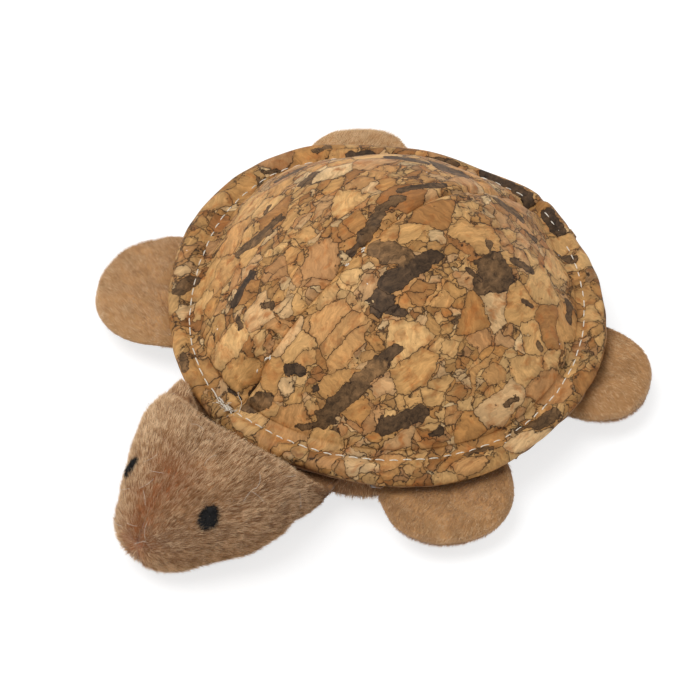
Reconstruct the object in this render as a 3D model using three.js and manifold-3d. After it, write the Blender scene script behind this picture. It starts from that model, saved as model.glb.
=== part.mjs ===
// A stuffed turtle: a cork fabric shell with a stitched brim over a plush body, head and four flat legs.
// Millimetres, +Z up. The turtle faces -Y and its left side is +X. The origin is on the table, in the
// middle of the belly's flat underside.

import * as THREE from 'three';
import { mergeVertices } from 'three/addons/utils/BufferGeometryUtils.js';
import Module from 'manifold-3d';

const wasm = await Module();
wasm.setup();

// The gap that neighbouring pieces keep
const clearance = 0.3;

// Shell: the outline of its brim from above, the brim, and the dome that stands on it
const shellHalfWidth = 52.6;
const shellHalfLength = 49.4;
const shellTurnDegrees = -9.3;
const outlinePower = 1.88;
const brimWidth = 4.8;
const brimEdgeHeight = 13.8;
const brimDroop = 1.2;
const corkThickness = 1.0;
const hemThickness = 1.7;
const hemRound = 0.55;
const domeRise = 26;
const domeFootInset = 2.4;
const domeFootSetBack = 1;
const domeCrestSetBack = 4.2;
const domePower = 0.85;
const seamAllowance = 4;
const seamSideShift = -1;

// Plush of the body and head, and the lower body
const plushThickness = 1.2;
const wallInset = 5.6;
const flangeInset = 1;

// Threads
const threadDiameter = 0.55;

// Neck: a roll of wadding between the body's wall and the head, to the turtle's left of straight ahead
const neckPlaceDegrees = 11;
const neckHeight = 5.2;
const neckRollRadius = 2;
const neckRollEndRadius = 0.9;
const neckHalfWidth = 11;

// Head, turned a little to the turtle's left
const headLength = 39.5;
const headHalfWidth = 21.2;
const headHeight = 26;
const headGroundGap = 0.8;
const neckRoom = 2.4;
const brimGap = 2.6;
const headTurnDegrees = 6.7;

// Eyes: ovals of black thread on the head
const eyeHalfWidth = 2;
const eyeHalfHeight = 2.9;
const eyeHalfThickness = 0.8;
const eyeSpread = 11.1;
const eyeTiltDegrees = 20;

// Legs: flat round paws, sewn to the body's wall under the brim
const legHingeHeight = 8.2;
const legHalfThickness = 2.7;
const legPlushThickness = 1.1;
const legDroopDegrees = 7;
const legOvalShare = 0.86;
const legMiddleShare = 0.52;
const legPlumpPower = 3;
const frontLeftLength = 17.4;
const frontLeftHalfWidth = 15;
const frontRightLength = 22.2;
const frontRightHalfWidth = 16.8;
const rearLeftLength = 16.8;
const rearLeftHalfWidth = 13.7;
const rearRightLength = 15.5;
const rearRightHalfWidth = 13;

// How fine the facets are
const outlineSteps = 36;
const domeRingShares = [0.2, 0.4, 0.58, 0.74, 0.87, 0.96, 1];
const headSteps = 24;
const legSteps = 22;
const legRingShares = [0.5, 0.82, 0.95];
const threadSteps = 48;
const threadSides = 5;
const rollRingShares = [-0.97, -0.8, -0.4, 0, 0.4, 0.8, 0.97];
const rollSteps = 12;
const eyeSteps = 12;
const slopeShare = 0.01;

// The legs as they are sewn on, each a little differently. Each one points away from the middle of the
// shell: as many shell widths to its side, and as many shell lengths to the back.
const legPlaces = [
  { name: 'front_left', sideShare: 1, backShare: -0.536, length: frontLeftLength, halfWidth: frontLeftHalfWidth },
  { name: 'front_right', sideShare: -1, backShare: -0.785, length: frontRightLength, halfWidth: frontRightHalfWidth },
  { name: 'rear_left', sideShare: 1, backShare: 0.627, length: rearLeftLength, halfWidth: rearLeftHalfWidth },
  { name: 'rear_right', sideShare: -1, backShare: 0.748, length: rearRightLength, halfWidth: rearRightHalfWidth },
];

// The head's cross-sections from the neck to the nose. Each row: how far along the head's length, its half
// width, how far its top has risen from the neck's top to the head's, and its bottom as a share of the height.
const headSectionShares = [
  [-0.02, 0.95, 0.20, 0.02],
  [0.06, 0.97, 0.42, 0.01],
  [0.12, 0.98, 0.58, 0],
  [0.20, 0.97, 0.77, 0],
  [0.30, 0.94, 0.93, 0],
  [0.42, 0.90, 1, 0],
  [0.56, 0.81, 0.96, 0],
  [0.70, 0.67, 0.86, 0.01],
  [0.82, 0.53, 0.73, 0.03],
  [0.91, 0.41, 0.57, 0.08],
  [0.97, 0.27, 0.38, 0.16],
];
const noseHeightShare = 0.36;
const headSectionPower = 2.8;

// The eyes, the right one a little farther forward and nearer the middle
const eyePlaces = [
  { name: 'eye_left', side: 1, alongShare: 0.73, spreadShare: 1 },
  { name: 'eye_right', side: -1, alongShare: 0.77, spreadShare: 0.86 },
];

// Finishes
const corkFinish = new THREE.MeshStandardMaterial({ color: 0xc39a6b, roughness: 0.7, metalness: 0 });
const plushFinish = new THREE.MeshStandardMaterial({ color: 0xa98262, roughness: 0.95, metalness: 0 });
const pawFinish = new THREE.MeshStandardMaterial({ color: 0xbd9468, roughness: 0.95, metalness: 0 });
const threadFinish = new THREE.MeshStandardMaterial({ color: 0xe6dccb, roughness: 0.8, metalness: 0 });
const eyeFinish = new THREE.MeshStandardMaterial({ color: 0x14110f, roughness: 0.9, metalness: 0 });
const stuffingFinish = new THREE.MeshStandardMaterial({ color: 0xf1efe9, roughness: 1, metalness: 0 });

const turtle = new THREE.Group();

function addPiece(name, geometry, finish, parent = turtle) {
  const piece = new THREE.Mesh(geometry, finish.clone());
  piece.name = name;
  parent.add(piece);
}

// A closed skin through rings of points, one after another. The first and last entries are single points
// that close the ends.
function loft(rings) {
  const points = [];
  const starts = rings.map((ring) => {
    const start = points.length;
    points.push(...(Array.isArray(ring) ? ring : [ring]));
    return start;
  });
  const count = rings[1].length;
  const faces = [];
  for (let ring = 0; ring + 1 < rings.length; ring += 1) {
    for (let step = 0; step < count; step += 1) {
      const next = (step + 1) % count;
      const [a, b] = [starts[ring], starts[ring + 1]];
      if (ring === 0) {
        faces.push(a, b + step, b + next);
      } else if (ring + 2 === rings.length) {
        faces.push(a + step, b, a + next);
      } else {
        faces.push(a + step, b + step, b + next, a + step, b + next, a + next);
      }
    }
  }
  return outward(new THREE.BufferGeometry().setFromPoints(points).setIndex(faces));
}

// The same geometry with its faces pointing out
function outward(geometry) {
  const position = geometry.getAttribute('position');
  const index = geometry.getIndex();
  const corners = [new THREE.Vector3(), new THREE.Vector3(), new THREE.Vector3()];
  let volume = 0;
  for (let face = 0; face < index.count; face += 3) {
    corners.forEach((corner, place) => corner.fromBufferAttribute(position, index.getX(face + place)));
    volume += corners[0].dot(corners[1].cross(corners[2]));
  }
  if (volume < 0) {
    for (let face = 0; face < index.count; face += 3) {
      const kept = index.getX(face);
      index.setX(face, index.getX(face + 1));
      index.setX(face + 1, kept);
    }
  }
  return geometry;
}

// The same geometry with only its points and faces, neighbouring faces sharing their points
function bareGeometry(geometry) {
  const bare = geometry.clone();
  bare.deleteAttribute('normal');
  bare.deleteAttribute('uv');
  return mergeVertices(bare);
}

// A solid that can be cut and joined, from a closed geometry
function solidOf(geometry) {
  const merged = bareGeometry(geometry);
  return new wasm.Manifold(new wasm.Mesh({
    numProp: 3,
    vertProperties: new Float32Array(merged.getAttribute('position').array),
    triVerts: new Uint32Array(merged.getIndex().array),
  }));
}

function geometryOf(solid) {
  const mesh = solid.getMesh();
  const geometry = new THREE.BufferGeometry();
  geometry.setAttribute('position', new THREE.BufferAttribute(mesh.vertProperties, 3));
  geometry.setIndex(new THREE.BufferAttribute(mesh.triVerts, 1));
  geometry.computeVertexNormals();
  return geometry;
}

function blockSolid(low, high) {
  const size = new THREE.Vector3().subVectors(high, low);
  const block = new THREE.BoxGeometry(size.x, size.y, size.z);
  block.translate(low.x + size.x / 2, low.y + size.y / 2, low.z + size.z / 2);
  return solidOf(block);
}

// The turtle's outline from above, drawn in from the brim's edge by an inset
function outlineRadius(angle, inset) {
  const turned = angle - THREE.MathUtils.degToRad(shellTurnDegrees);
  const across = Math.abs(Math.cos(turned) / (shellHalfWidth - inset)) ** outlinePower;
  const along = Math.abs(Math.sin(turned) / (shellHalfLength - inset)) ** outlinePower;
  return (across + along) ** (-1 / outlinePower);
}

function outlinePoint(angle, inset, height, scale = 1, shiftBack = 0) {
  const radius = outlineRadius(angle, inset) * scale;
  return new THREE.Vector3(radius * Math.cos(angle), radius * Math.sin(angle) + shiftBack, height);
}

function outlineRing(inset, height, scale = 1, shiftBack = 0) {
  return Array.from({ length: outlineSteps }, (_, step) => {
    const angle = (2 * Math.PI * step) / outlineSteps;
    return outlinePoint(angle, inset, height, scale, shiftBack);
  });
}

// Heights of the brim: its top at the stitch line, and its underside at an inset from the edge
const stitchHeight = brimEdgeHeight + brimDroop;
const domeInset = brimWidth + domeFootInset;
const shellTop = stitchHeight + domeRise;

function brimUnderside(inset) {
  return brimEdgeHeight - hemThickness + brimDroop * (inset / brimWidth);
}

// Dome: the height and the set-back of its ring at a share of the way from the crest to the foot
function domeHeight(share, depth) {
  return stitchHeight + (domeRise - depth) * (1 - share ** 2) ** domePower;
}

function domeSetBack(share) {
  return domeFootSetBack + domeCrestSetBack * (1 - share ** 2);
}

function domeRing(share, depth) {
  return outlineRing(domeInset + depth, domeHeight(share, depth), share, domeSetBack(share));
}

function domeCrest(depth) {
  return new THREE.Vector3(0, domeSetBack(0), domeHeight(0, depth));
}

// The space under the dome, a depth below its surface, closed by a floor below the stitch line
function domeSpace(depth, floorDrop) {
  const floor = stitchHeight - floorDrop;
  return solidOf(loft([
    domeCrest(depth),
    ...domeRingShares.map((share) => domeRing(share, depth)),
    outlineRing(domeInset + depth, floor, 1, domeSetBack(1)),
    new THREE.Vector3(0, 0, floor),
  ]));
}

// Everything between two planes on either side of a middle
function slab(lowX, highX, middleX = 0) {
  return blockSolid(
    new THREE.Vector3(middleX + lowX, -2 * shellHalfLength, -shellTop),
    new THREE.Vector3(middleX + highX, 2 * shellHalfLength, 2 * shellTop),
  );
}

// Shell: dome, brim with its rounded hem, and the underside again
function shellSolid() {
  const edgeMiddle = brimEdgeHeight - hemThickness / 2;
  return solidOf(loft([
    domeCrest(0),
    ...domeRingShares.map((share) => domeRing(share, 0)),
    outlineRing(brimWidth, stitchHeight),
    outlineRing(hemRound, brimEdgeHeight),
    outlineRing(0, edgeMiddle),
    outlineRing(hemRound, brimUnderside(0)),
    outlineRing(brimWidth, brimUnderside(brimWidth)),
    outlineRing(domeInset + corkThickness, brimUnderside(brimWidth), 1, domeSetBack(1)),
    ...domeRingShares.map((share) => domeRing(share, corkThickness)).reverse(),
    domeCrest(corkThickness),
  ]));
}

// The seam allowance of one panel, turned down inside the dome
function seamLip(lowX, highX) {
  const outer = domeSpace(corkThickness / 2, 0);
  const inner = domeSpace(corkThickness + seamAllowance, clearance);
  return outer.subtract(inner).intersect(slab(lowX, highX, seamSideShift));
}

function addShellPanels() {
  const whole = shellSolid();
  const seamEdge = clearance / 2;
  const lipEdge = seamEdge + corkThickness;
  const farSide = 2 * shellHalfWidth;
  const leftHalf = whole.intersect(slab(seamEdge, farSide, seamSideShift));
  const rightHalf = whole.intersect(slab(-farSide, -seamEdge, seamSideShift));
  const left = leftHalf.add(seamLip(seamEdge, lipEdge));
  const right = rightHalf.add(seamLip(-lipEdge, -seamEdge));
  addPiece('shell_panel_left', geometryOf(left), corkFinish);
  addPiece('shell_panel_right', geometryOf(right), corkFinish);
}

// Threads of the brim: a ring on top of the stitch line, and one under the plush below it
class OutlineCurve extends THREE.Curve {
  constructor(inset, height) {
    super();
    this.inset = inset;
    this.height = height;
  }

  getPoint(share, target = new THREE.Vector3()) {
    return target.copy(outlinePoint(2 * Math.PI * share, this.inset, this.height));
  }
}

function threadRing(height) {
  const path = new OutlineCurve(brimWidth, height);
  const tube = new THREE.TubeGeometry(path, threadSteps, threadDiameter / 2, threadSides, true);
  return geometryOf(solidOf(tube));
}

// Threads of the centre seam: one along each side of the two turned-in allowances
class SeamCurve extends THREE.Curve {
  constructor(x, depth, reach) {
    super();
    this.x = x;
    this.depth = depth;
    this.reach = reach;
  }

  getPoint(share, target = new THREE.Vector3()) {
    const way = (2 * share - 1) * this.reach;
    const halfLength = shellHalfLength - domeInset - this.depth;
    const y = way * halfLength + domeSetBack(Math.abs(way));
    return target.set(this.x, y, domeHeight(Math.abs(way), this.depth));
  }
}

const seamReachShare = 0.94;

function seamThread(side) {
  const radius = threadDiameter / 2;
  const x = seamSideShift + side * (clearance / 2 + corkThickness + clearance + radius);
  const path = new SeamCurve(x, corkThickness + seamAllowance / 2, seamReachShare);
  const section = new THREE.Shape(Array.from({ length: threadSides }, (_, step) => {
    const angle = (2 * Math.PI * step) / threadSides;
    return new THREE.Vector2(radius * Math.cos(angle), radius * Math.sin(angle));
  }));
  const settings = { extrudePath: path, steps: Math.round(threadSteps / 2), bevelEnabled: false };
  return geometryOf(solidOf(new THREE.ExtrudeGeometry(section, settings)));
}

function addThreads() {
  const radius = threadDiameter / 2;
  const under = brimUnderside(brimWidth) - clearance - plushThickness;
  addPiece('brim_topstitch', threadRing(stitchHeight + clearance + radius), threadFinish);
  addPiece('brim_bobbin_thread', threadRing(under - clearance - radius), threadFinish);
  addPiece('centre_seam_thread', seamThread(1), threadFinish);
  addPiece('centre_seam_bobbin_thread', seamThread(-1), threadFinish);
}

// Lower body: flat where it stands, rounded up into the wall, which ends in a flange under the brim. Each
// row of the wall: an inset from the brim's edge and a height, as shares of the inset of the wall and of
// the height of the flange over the table.
const wallSectionShares = [
  [2.9, 0],
  [1.95, 0.06],
  [1.35, 0.25],
  [1, 0.5],
  [1.02, 0.78],
];
const liftFadeShare = 0.5;
const flangeRoot = wallInset + plushThickness;

function flangeTop(inset) {
  return brimUnderside(inset) - clearance;
}

function wallRings(depth) {
  const height = flangeTop(wallInset) - plushThickness;
  return wallSectionShares.map(([insetShare, heightShare]) => {
    const lift = depth * Math.max(0, 1 - heightShare / liftFadeShare);
    return outlineRing(insetShare * wallInset + depth, heightShare * height + lift);
  });
}

function bellySolid() {
  return solidOf(loft([
    new THREE.Vector3(0, 0, 0),
    ...wallRings(0),
    outlineRing(wallInset, flangeTop(wallInset) - plushThickness),
    outlineRing(flangeInset, flangeTop(flangeInset) - plushThickness),
    outlineRing(flangeInset, flangeTop(flangeInset)),
    outlineRing(flangeRoot, flangeTop(brimWidth)),
    ...wallRings(plushThickness).reverse(),
    new THREE.Vector3(0, 0, plushThickness),
  ]));
}

// Stuffing that fills the body, with a groove for the centre seam's allowances and threads
function bodyStuffingSolid() {
  const dome = corkThickness + clearance;
  const lining = plushThickness + clearance;
  const filling = solidOf(loft([
    domeCrest(dome),
    ...domeRingShares.map((share) => domeRing(share, dome)),
    outlineRing(domeInset + dome, flangeTop(brimWidth), 1, domeSetBack(1)),
    outlineRing(wallInset + lining, flangeTop(brimWidth) - lining),
    ...wallRings(lining).reverse(),
    new THREE.Vector3(0, 0, lining),
  ]));
  const grooveHalfWidth = clearance / 2 + corkThickness + clearance + threadDiameter + clearance;
  const groove = domeSpace(0, clearance)
    .subtract(domeSpace(corkThickness + seamAllowance + clearance, 2 * clearance))
    .intersect(slab(-grooveHalfWidth, grooveHalfWidth, seamSideShift));
  return filling.subtract(groove);
}

function addBody() {
  addPiece('belly_panel', geometryOf(bellySolid()), plushFinish);
  addPiece('body_stuffing', geometryOf(bodyStuffingSolid()), stuffingFinish);
}

// Neck: its middle lies a clearance and a radius in front of the body's wall
const neckAngle = THREE.MathUtils.degToRad(neckPlaceDegrees) - Math.PI / 2;
const neckPlace = outlinePoint(neckAngle, wallInset - clearance - neckRollRadius, neckHeight);
const neck = new THREE.Group();
neck.position.copy(neckPlace);
neck.rotation.z = THREE.MathUtils.degToRad(headTurnDegrees);
turtle.add(neck);

// A spindle of wadding across the neck, thinner at its ends, larger all round by a margin
function neckRoll(margin) {
  const thinning = neckRollRadius - neckRollEndRadius;
  const rings = rollRingShares.map((share) => {
    const radius = neckRollRadius - thinning * share ** 2 + margin;
    return Array.from({ length: rollSteps }, (_, step) => {
      const angle = (2 * Math.PI * step) / rollSteps;
      return new THREE.Vector3(share * neckHalfWidth, radius * Math.cos(angle), radius * Math.sin(angle));
    });
  });
  const end = neckHalfWidth + margin;
  return loft([new THREE.Vector3(-end, 0, 0), ...rings, new THREE.Vector3(end, 0, 0)]);
}

// Head: heights measured from the neck's middle, the neck's top lying below the flange with room to nod
const headUnderside = headGroundGap - neckHeight;
const headTop = headUnderside + headHeight;
const neckTop = flangeTop(flangeInset) - plushThickness - neckRoom - neckHeight;

// The section at a share of the head's length
function headSection(alongShare) {
  const last = headSectionShares.length - 1;
  const found = headSectionShares.findIndex((row) => row[0] >= alongShare);
  const above = found < 1 ? (found === 0 ? 1 : last) : found;
  const [low, high] = [headSectionShares[above - 1], headSectionShares[above]];
  const blend = (alongShare - low[0]) / (high[0] - low[0]);
  return low.map((value, place) => value + (high[place] - value) * blend);
}

// A point of the head's skin at a share of its length and an angle round its section, drawn in by a depth
function headPoint(alongShare, angle, depth) {
  const [, widthShare, topShare, bottomShare] = headSection(alongShare);
  const top = neckTop + topShare * (headTop - neckTop) - depth;
  const bottom = headUnderside + bottomShare * headHeight + depth;
  const [c, s] = [Math.cos(angle), Math.sin(angle)];
  const x = (widthShare * headHalfWidth - depth) * Math.sign(c) * Math.abs(c) ** (2 / headSectionPower);
  const z = (top + bottom) / 2 + ((top - bottom) / 2) * Math.sign(s) * Math.abs(s) ** (2 / headSectionPower);
  return new THREE.Vector3(x, -alongShare * (headLength - depth), z);
}

function headRing(alongShare, depth) {
  return Array.from({ length: headSteps }, (_, step) => (
    headPoint(alongShare, (2 * Math.PI * (step + 0.5)) / headSteps, depth)
  ));
}

// The step under the brim: all that lies nearer to the brim's edge than a gap, and above the neck's top
function brimRoom(depth) {
  const inset = -brimGap - depth;
  const floor = neckTop + neckHeight - depth;
  const room = loft([
    new THREE.Vector3(0, 0, floor),
    outlineRing(inset, floor),
    outlineRing(inset, shellTop),
    new THREE.Vector3(0, 0, shellTop),
  ]);
  neck.updateMatrix();
  return solidOf(room.applyMatrix4(neck.matrix.clone().invert()));
}

function headSolid(depth, rearDrop) {
  const rear = headSectionShares[0][0];
  const noseZ = headUnderside + noseHeightShare * headHeight;
  const rearRing = headRing(rear, depth).map((point) => point.setY(point.y + rearDrop));
  const rearZ = (headPoint(rear, Math.PI / 2, depth).z + headPoint(rear, -Math.PI / 2, depth).z) / 2;
  const whole = solidOf(loft([
    new THREE.Vector3(0, rearRing[0].y, rearZ),
    rearRing,
    ...headSectionShares.slice(1).map(([alongShare]) => headRing(alongShare, depth)),
    new THREE.Vector3(0, depth - headLength, noseZ),
  ]));
  return whole.subtract(brimRoom(depth));
}

function addHead() {
  const farAhead = 2 * headLength;
  const seamEdge = clearance / 2;
  const skin = headSolid(0, 0).subtract(headSolid(plushThickness, plushThickness));
  const sides = { head_panel_left: [seamEdge, farAhead], head_panel_right: [-farAhead, -seamEdge] };
  Object.entries(sides).forEach(([name, [lowX, highX]]) => {
    addPiece(name, geometryOf(skin.intersect(slab(lowX, highX))), plushFinish, neck);
  });
  const roll = solidOf(neckRoll(clearance));
  const filling = headSolid(plushThickness + clearance, 0).subtract(roll);
  addPiece('head_stuffing', geometryOf(filling), stuffingFinish, neck);
  addPiece('neck_stuffing', neckRoll(0), stuffingFinish, neck);
}

// The angle round the head's section at which its skin lies a given way out from the middle
function headAngleAt(alongShare, sideways) {
  const [, widthShare] = headSection(alongShare);
  return Math.acos((sideways / (widthShare * headHalfWidth)) ** (headSectionPower / 2));
}

// Eyes: flat ovals a clearance over the skin, facing the way the skin faces there
function addEye({ name, side, alongShare, spreadShare }) {
  const leftAngle = headAngleAt(alongShare, eyeSpread * spreadShare);
  const angle = side > 0 ? leftAngle : Math.PI - leftAngle;
  const seat = headPoint(alongShare, angle, 0);
  const forward = headPoint(alongShare + slopeShare, angle, 0).sub(seat).normalize();
  const around = headPoint(alongShare, angle + slopeShare, 0).sub(seat).normalize();
  const facing = new THREE.Vector3().crossVectors(around, forward).normalize();
  const across = new THREE.Vector3().crossVectors(forward, facing).normalize();
  const oval = new THREE.SphereGeometry(1, eyeSteps, eyeSteps / 2);
  oval.scale(eyeHalfWidth, eyeHalfHeight, eyeHalfThickness);
  oval.rotateZ(THREE.MathUtils.degToRad(side * eyeTiltDegrees));
  oval.applyMatrix4(new THREE.Matrix4().makeBasis(across, forward, facing));
  seat.addScaledVector(facing, clearance + eyeHalfThickness);
  oval.translate(seat.x, seat.y, seat.z);
  addPiece(name, bareGeometry(oval), eyeFinish, neck);
}

// Legs: the direction in which each one points from the middle of the turtle
function legAngle(leg) {
  return Math.atan2(leg.backShare * shellHalfLength, leg.sideShare * shellHalfWidth);
}

// Each paw's outline is an oval. Where it would lie in the body, it follows the wall, a clearance outside it.
// The points are measured from the paw's root, x pointing out.
function legOutline(leg, depth) {
  const angle = legAngle(leg);
  const middle = new THREE.Vector2();
  const root = new THREE.Vector2(outlineRadius(angle, wallInset - clearance), 0);
  const along = leg.length * legOvalShare;
  return Array.from({ length: legSteps }, (_, step) => {
    const heading = (2 * Math.PI * step) / legSteps;
    const reach = leg.length - along + (along - depth) * Math.cos(heading);
    const point = new THREE.Vector2(root.x + reach, (leg.halfWidth - depth) * Math.sin(heading));
    point.rotateAround(middle, angle);
    const wall = outlineRadius(point.angle(), wallInset - clearance) + depth;
    point.setLength(Math.max(point.length(), wall));
    return point.rotateAround(middle, -angle).sub(root);
  });
}

// A paw as a pad, swelling from its rounded rim to its middle, drawn in by a depth
function pawSolid(leg, depth) {
  const outline = legOutline(leg, depth);
  const middle = leg.length * legMiddleShare;
  const halfThickness = legHalfThickness - depth;
  const ringAt = (share, side) => outline.map((point) => new THREE.Vector3(
    middle + (point.x - middle) * share,
    point.y * share,
    side * halfThickness * Math.sqrt(1 - share ** legPlumpPower),
  ));
  return solidOf(loft([
    new THREE.Vector3(middle, 0, halfThickness),
    ...legRingShares.map((share) => ringAt(share, 1)),
    ringAt(1, 0),
    ...legRingShares.map((share) => ringAt(share, -1)).reverse(),
    new THREE.Vector3(middle, 0, -halfThickness),
  ]));
}

function addLeg(leg) {
  const angle = legAngle(leg);
  const group = new THREE.Group();
  group.position.copy(outlinePoint(angle, wallInset - clearance, legHingeHeight));
  group.rotation.z = angle;
  const drooped = new THREE.Group();
  drooped.rotation.y = THREE.MathUtils.degToRad(legDroopDegrees);
  group.add(drooped);
  turtle.add(group);
  const far = 2 * leg.length + leg.halfWidth;
  const gap = clearance / 2;
  const skin = pawSolid(leg, 0).subtract(pawSolid(leg, legPlushThickness));
  const upper = blockSolid(new THREE.Vector3(-far, -far, gap), new THREE.Vector3(far, far, far));
  const lower = blockSolid(new THREE.Vector3(-far, -far, -far), new THREE.Vector3(far, far, -gap));
  const wadding = pawSolid(leg, legPlushThickness + clearance);
  addPiece(`leg_${leg.name}_upper`, geometryOf(skin.intersect(upper)), pawFinish, drooped);
  addPiece(`leg_${leg.name}_lower`, geometryOf(skin.intersect(lower)), pawFinish, drooped);
  addPiece(`leg_${leg.name}_wadding`, geometryOf(wadding), stuffingFinish, drooped);
}

addShellPanels();
addThreads();
addBody();
addHead();
eyePlaces.forEach(addEye);
legPlaces.forEach(addLeg);

export default turtle;
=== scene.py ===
import math

import bmesh
import bpy
import numpy as np
from mathutils import Matrix, Vector


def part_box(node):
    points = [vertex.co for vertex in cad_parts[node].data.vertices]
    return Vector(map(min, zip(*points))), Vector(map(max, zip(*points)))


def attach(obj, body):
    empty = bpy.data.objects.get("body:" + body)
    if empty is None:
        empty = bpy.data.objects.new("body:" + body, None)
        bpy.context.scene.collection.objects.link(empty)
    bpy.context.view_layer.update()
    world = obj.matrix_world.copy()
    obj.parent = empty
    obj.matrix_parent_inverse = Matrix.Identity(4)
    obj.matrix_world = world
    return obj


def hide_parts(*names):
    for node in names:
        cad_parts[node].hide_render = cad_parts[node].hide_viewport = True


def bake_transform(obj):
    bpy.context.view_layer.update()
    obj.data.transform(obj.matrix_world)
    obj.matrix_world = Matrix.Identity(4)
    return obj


# A stuffed turtle: a cork fabric shell on a brown plush body, with a plush head and four flat paws.
# It faces -Y, its left is +X, and it lies on the table at Z 0. Shapes are worked out in mm and
# turned into metres when a mesh is made.

mm = 0.001
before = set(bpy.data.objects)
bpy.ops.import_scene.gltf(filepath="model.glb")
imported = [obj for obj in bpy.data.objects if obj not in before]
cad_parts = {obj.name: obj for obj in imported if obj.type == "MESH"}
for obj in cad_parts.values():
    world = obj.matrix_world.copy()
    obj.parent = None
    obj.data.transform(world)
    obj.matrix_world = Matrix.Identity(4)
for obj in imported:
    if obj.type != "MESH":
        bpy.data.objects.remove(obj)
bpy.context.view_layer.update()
print("frame loaded:", len(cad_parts), "nodes")

# Camera: long lens, looking down on the turtle from its front left
cameraPlace = {
    "azimuth": 48.0, "elevation": 49.0, "distance": 1000.0, "lens": 231.02,
    "target": (0.7, -0.45, 22.5), "aside": -7.99, "up": -15.03,
}


def addCamera(place):
    a, e = math.radians(place["azimuth"]), math.radians(place["elevation"])
    back = Vector((math.sin(a) * math.cos(e), -math.cos(a) * math.cos(e), math.sin(e)))
    right = Vector((math.cos(a), math.sin(a), 0))
    up = back.cross(right)
    data = bpy.data.cameras.new("camera")
    data.lens, data.sensor_width = place["lens"], 36.0
    data.clip_start, data.clip_end = 0.05, 20
    camera = bpy.data.objects.new("camera", data)
    bpy.context.scene.collection.objects.link(camera)
    camera.matrix_world = Matrix((right, up, back)).transposed().to_4x4()
    where = Vector(place["target"]) + back * place["distance"] + right * place["aside"] + up * place["up"]
    camera.location = where * mm
    bpy.context.scene.camera = camera
    return right, up, back


viewRight, viewUp, viewBack = addCamera(cameraPlace)
bpy.context.scene.view_settings.view_transform = "Standard"


# Colours and nodes
def linearColour(hexText):
    # sRGB hex to linear: the straight part below 0.04045, the 2.4 power above it
    values = [int(hexText[i:i + 2], 16) / 255 for i in (0, 2, 4)]
    return (*[v / 12.92 if v <= 0.04045 else ((v + 0.055) / 1.055) ** 2.4 for v in values], 1.0)


def addNode(tree, kind, feeds=None, **settings):
    # a node with its settings; feeds maps an input to a value, to an output, or to a node, whose first
    # output then feeds it
    node = tree.nodes.new(kind)
    for name, value in settings.items():
        setattr(node, name, value)
    for socket, value in (feeds or {}).items():
        if isinstance(value, bpy.types.Node):
            value = value.outputs[0]
        if isinstance(value, bpy.types.NodeSocket):
            tree.links.new(value, node.inputs[socket])
        else:
            node.inputs[socket].default_value = value
    return node


def newMaterial(name):
    material = bpy.data.materials.new(name)
    material.use_nodes = True
    material.node_tree.nodes.clear()
    return material, material.node_tree


def setRamp(node, stops):
    # colour stops as (place, hex)
    ramp = node.color_ramp
    while len(ramp.elements) < len(stops):
        ramp.elements.new(0.5)
    for element, (place, colour) in zip(ramp.elements, stops):
        element.position, element.color = place, linearColour(colour)


# Light and floor
studio = {
    "world": 0.52, "sun": 1.75, "sunSize": 40.0, "floorTint": "f4f4f4", "cameraFloor": 0.72,
    "floorHalf": 3.0, "floorDrop": 0.0002,
    # the way to the sun, in parts of the camera's back and right, of the sky and of the camera's up
    "toSun": (0.35, -0.45, 0.8, 0.25),
}


def addStudio(settings):
    world = bpy.data.worlds.new("studio")
    bpy.context.scene.world = world
    world.use_nodes = True
    tree = world.node_tree
    tree.nodes.clear()
    path = addNode(tree, "ShaderNodeLightPath")
    seen = addNode(tree, "ShaderNodeMath", {0: path.outputs["Is Camera Ray"], 1: path.outputs["Is Glossy Ray"]},
                   operation="MAXIMUM")
    seen = addNode(tree, "ShaderNodeMath", {0: seen, 1: path.outputs["Is Transmission Ray"]},
                   operation="MAXIMUM")
    soft = addNode(tree, "ShaderNodeBackground", {"Color": (1, 1, 1, 1), "Strength": settings["world"]})
    white = addNode(tree, "ShaderNodeBackground", {"Color": (1, 1, 1, 1), "Strength": 1.0})
    mix = addNode(tree, "ShaderNodeMixShader", {0: seen, 1: soft, 2: white})
    addNode(tree, "ShaderNodeOutputWorld", {"Surface": mix})

    lamp = bpy.data.lights.new("softKey", "SUN")
    lamp.energy, lamp.angle = settings["sun"], math.radians(settings["sunSize"])
    key = bpy.data.objects.new("softKey", lamp)
    bpy.context.scene.collection.objects.link(key)
    toBack, toRight, toSky, toUp = settings["toSun"]
    toward = (viewBack * toBack + viewRight * toRight + Vector((0, 0, 1)) * toSky + viewUp * toUp).normalized()
    key.rotation_mode = "QUATERNION"
    key.rotation_quaternion = toward.to_track_quat("Z", "Y")

    material, tree = newMaterial("paperSweep")
    path = addNode(tree, "ShaderNodeLightPath")
    paper = addNode(tree, "ShaderNodeBsdfDiffuse", {"Color": linearColour(settings["floorTint"])})
    grey = addNode(tree, "ShaderNodeBsdfDiffuse", {"Color": (0.4, 0.4, 0.4, 1)})
    glow = addNode(tree, "ShaderNodeEmission", {"Color": (1, 1, 1, 1), "Strength": settings["cameraFloor"]})
    lit = addNode(tree, "ShaderNodeAddShader", {0: grey, 1: glow})
    mix = addNode(tree, "ShaderNodeMixShader",
                  {0: path.outputs["Is Camera Ray"], 1: paper, 2: lit})
    addNode(tree, "ShaderNodeOutputMaterial", {"Surface": mix})
    mesh = bpy.data.meshes.new("floor")
    half, low = settings["floorHalf"], -settings["floorDrop"]
    mesh.from_pydata([(-half, -half, low), (half, -half, low), (half, half, low), (-half, half, low)], [],
                     [(0, 1, 2, 3)])
    mesh.materials.append(material)
    floor = bpy.data.objects.new("floor", mesh)
    bpy.context.scene.collection.objects.link(floor)


addStudio(studio)
print("camera and studio made")


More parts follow.
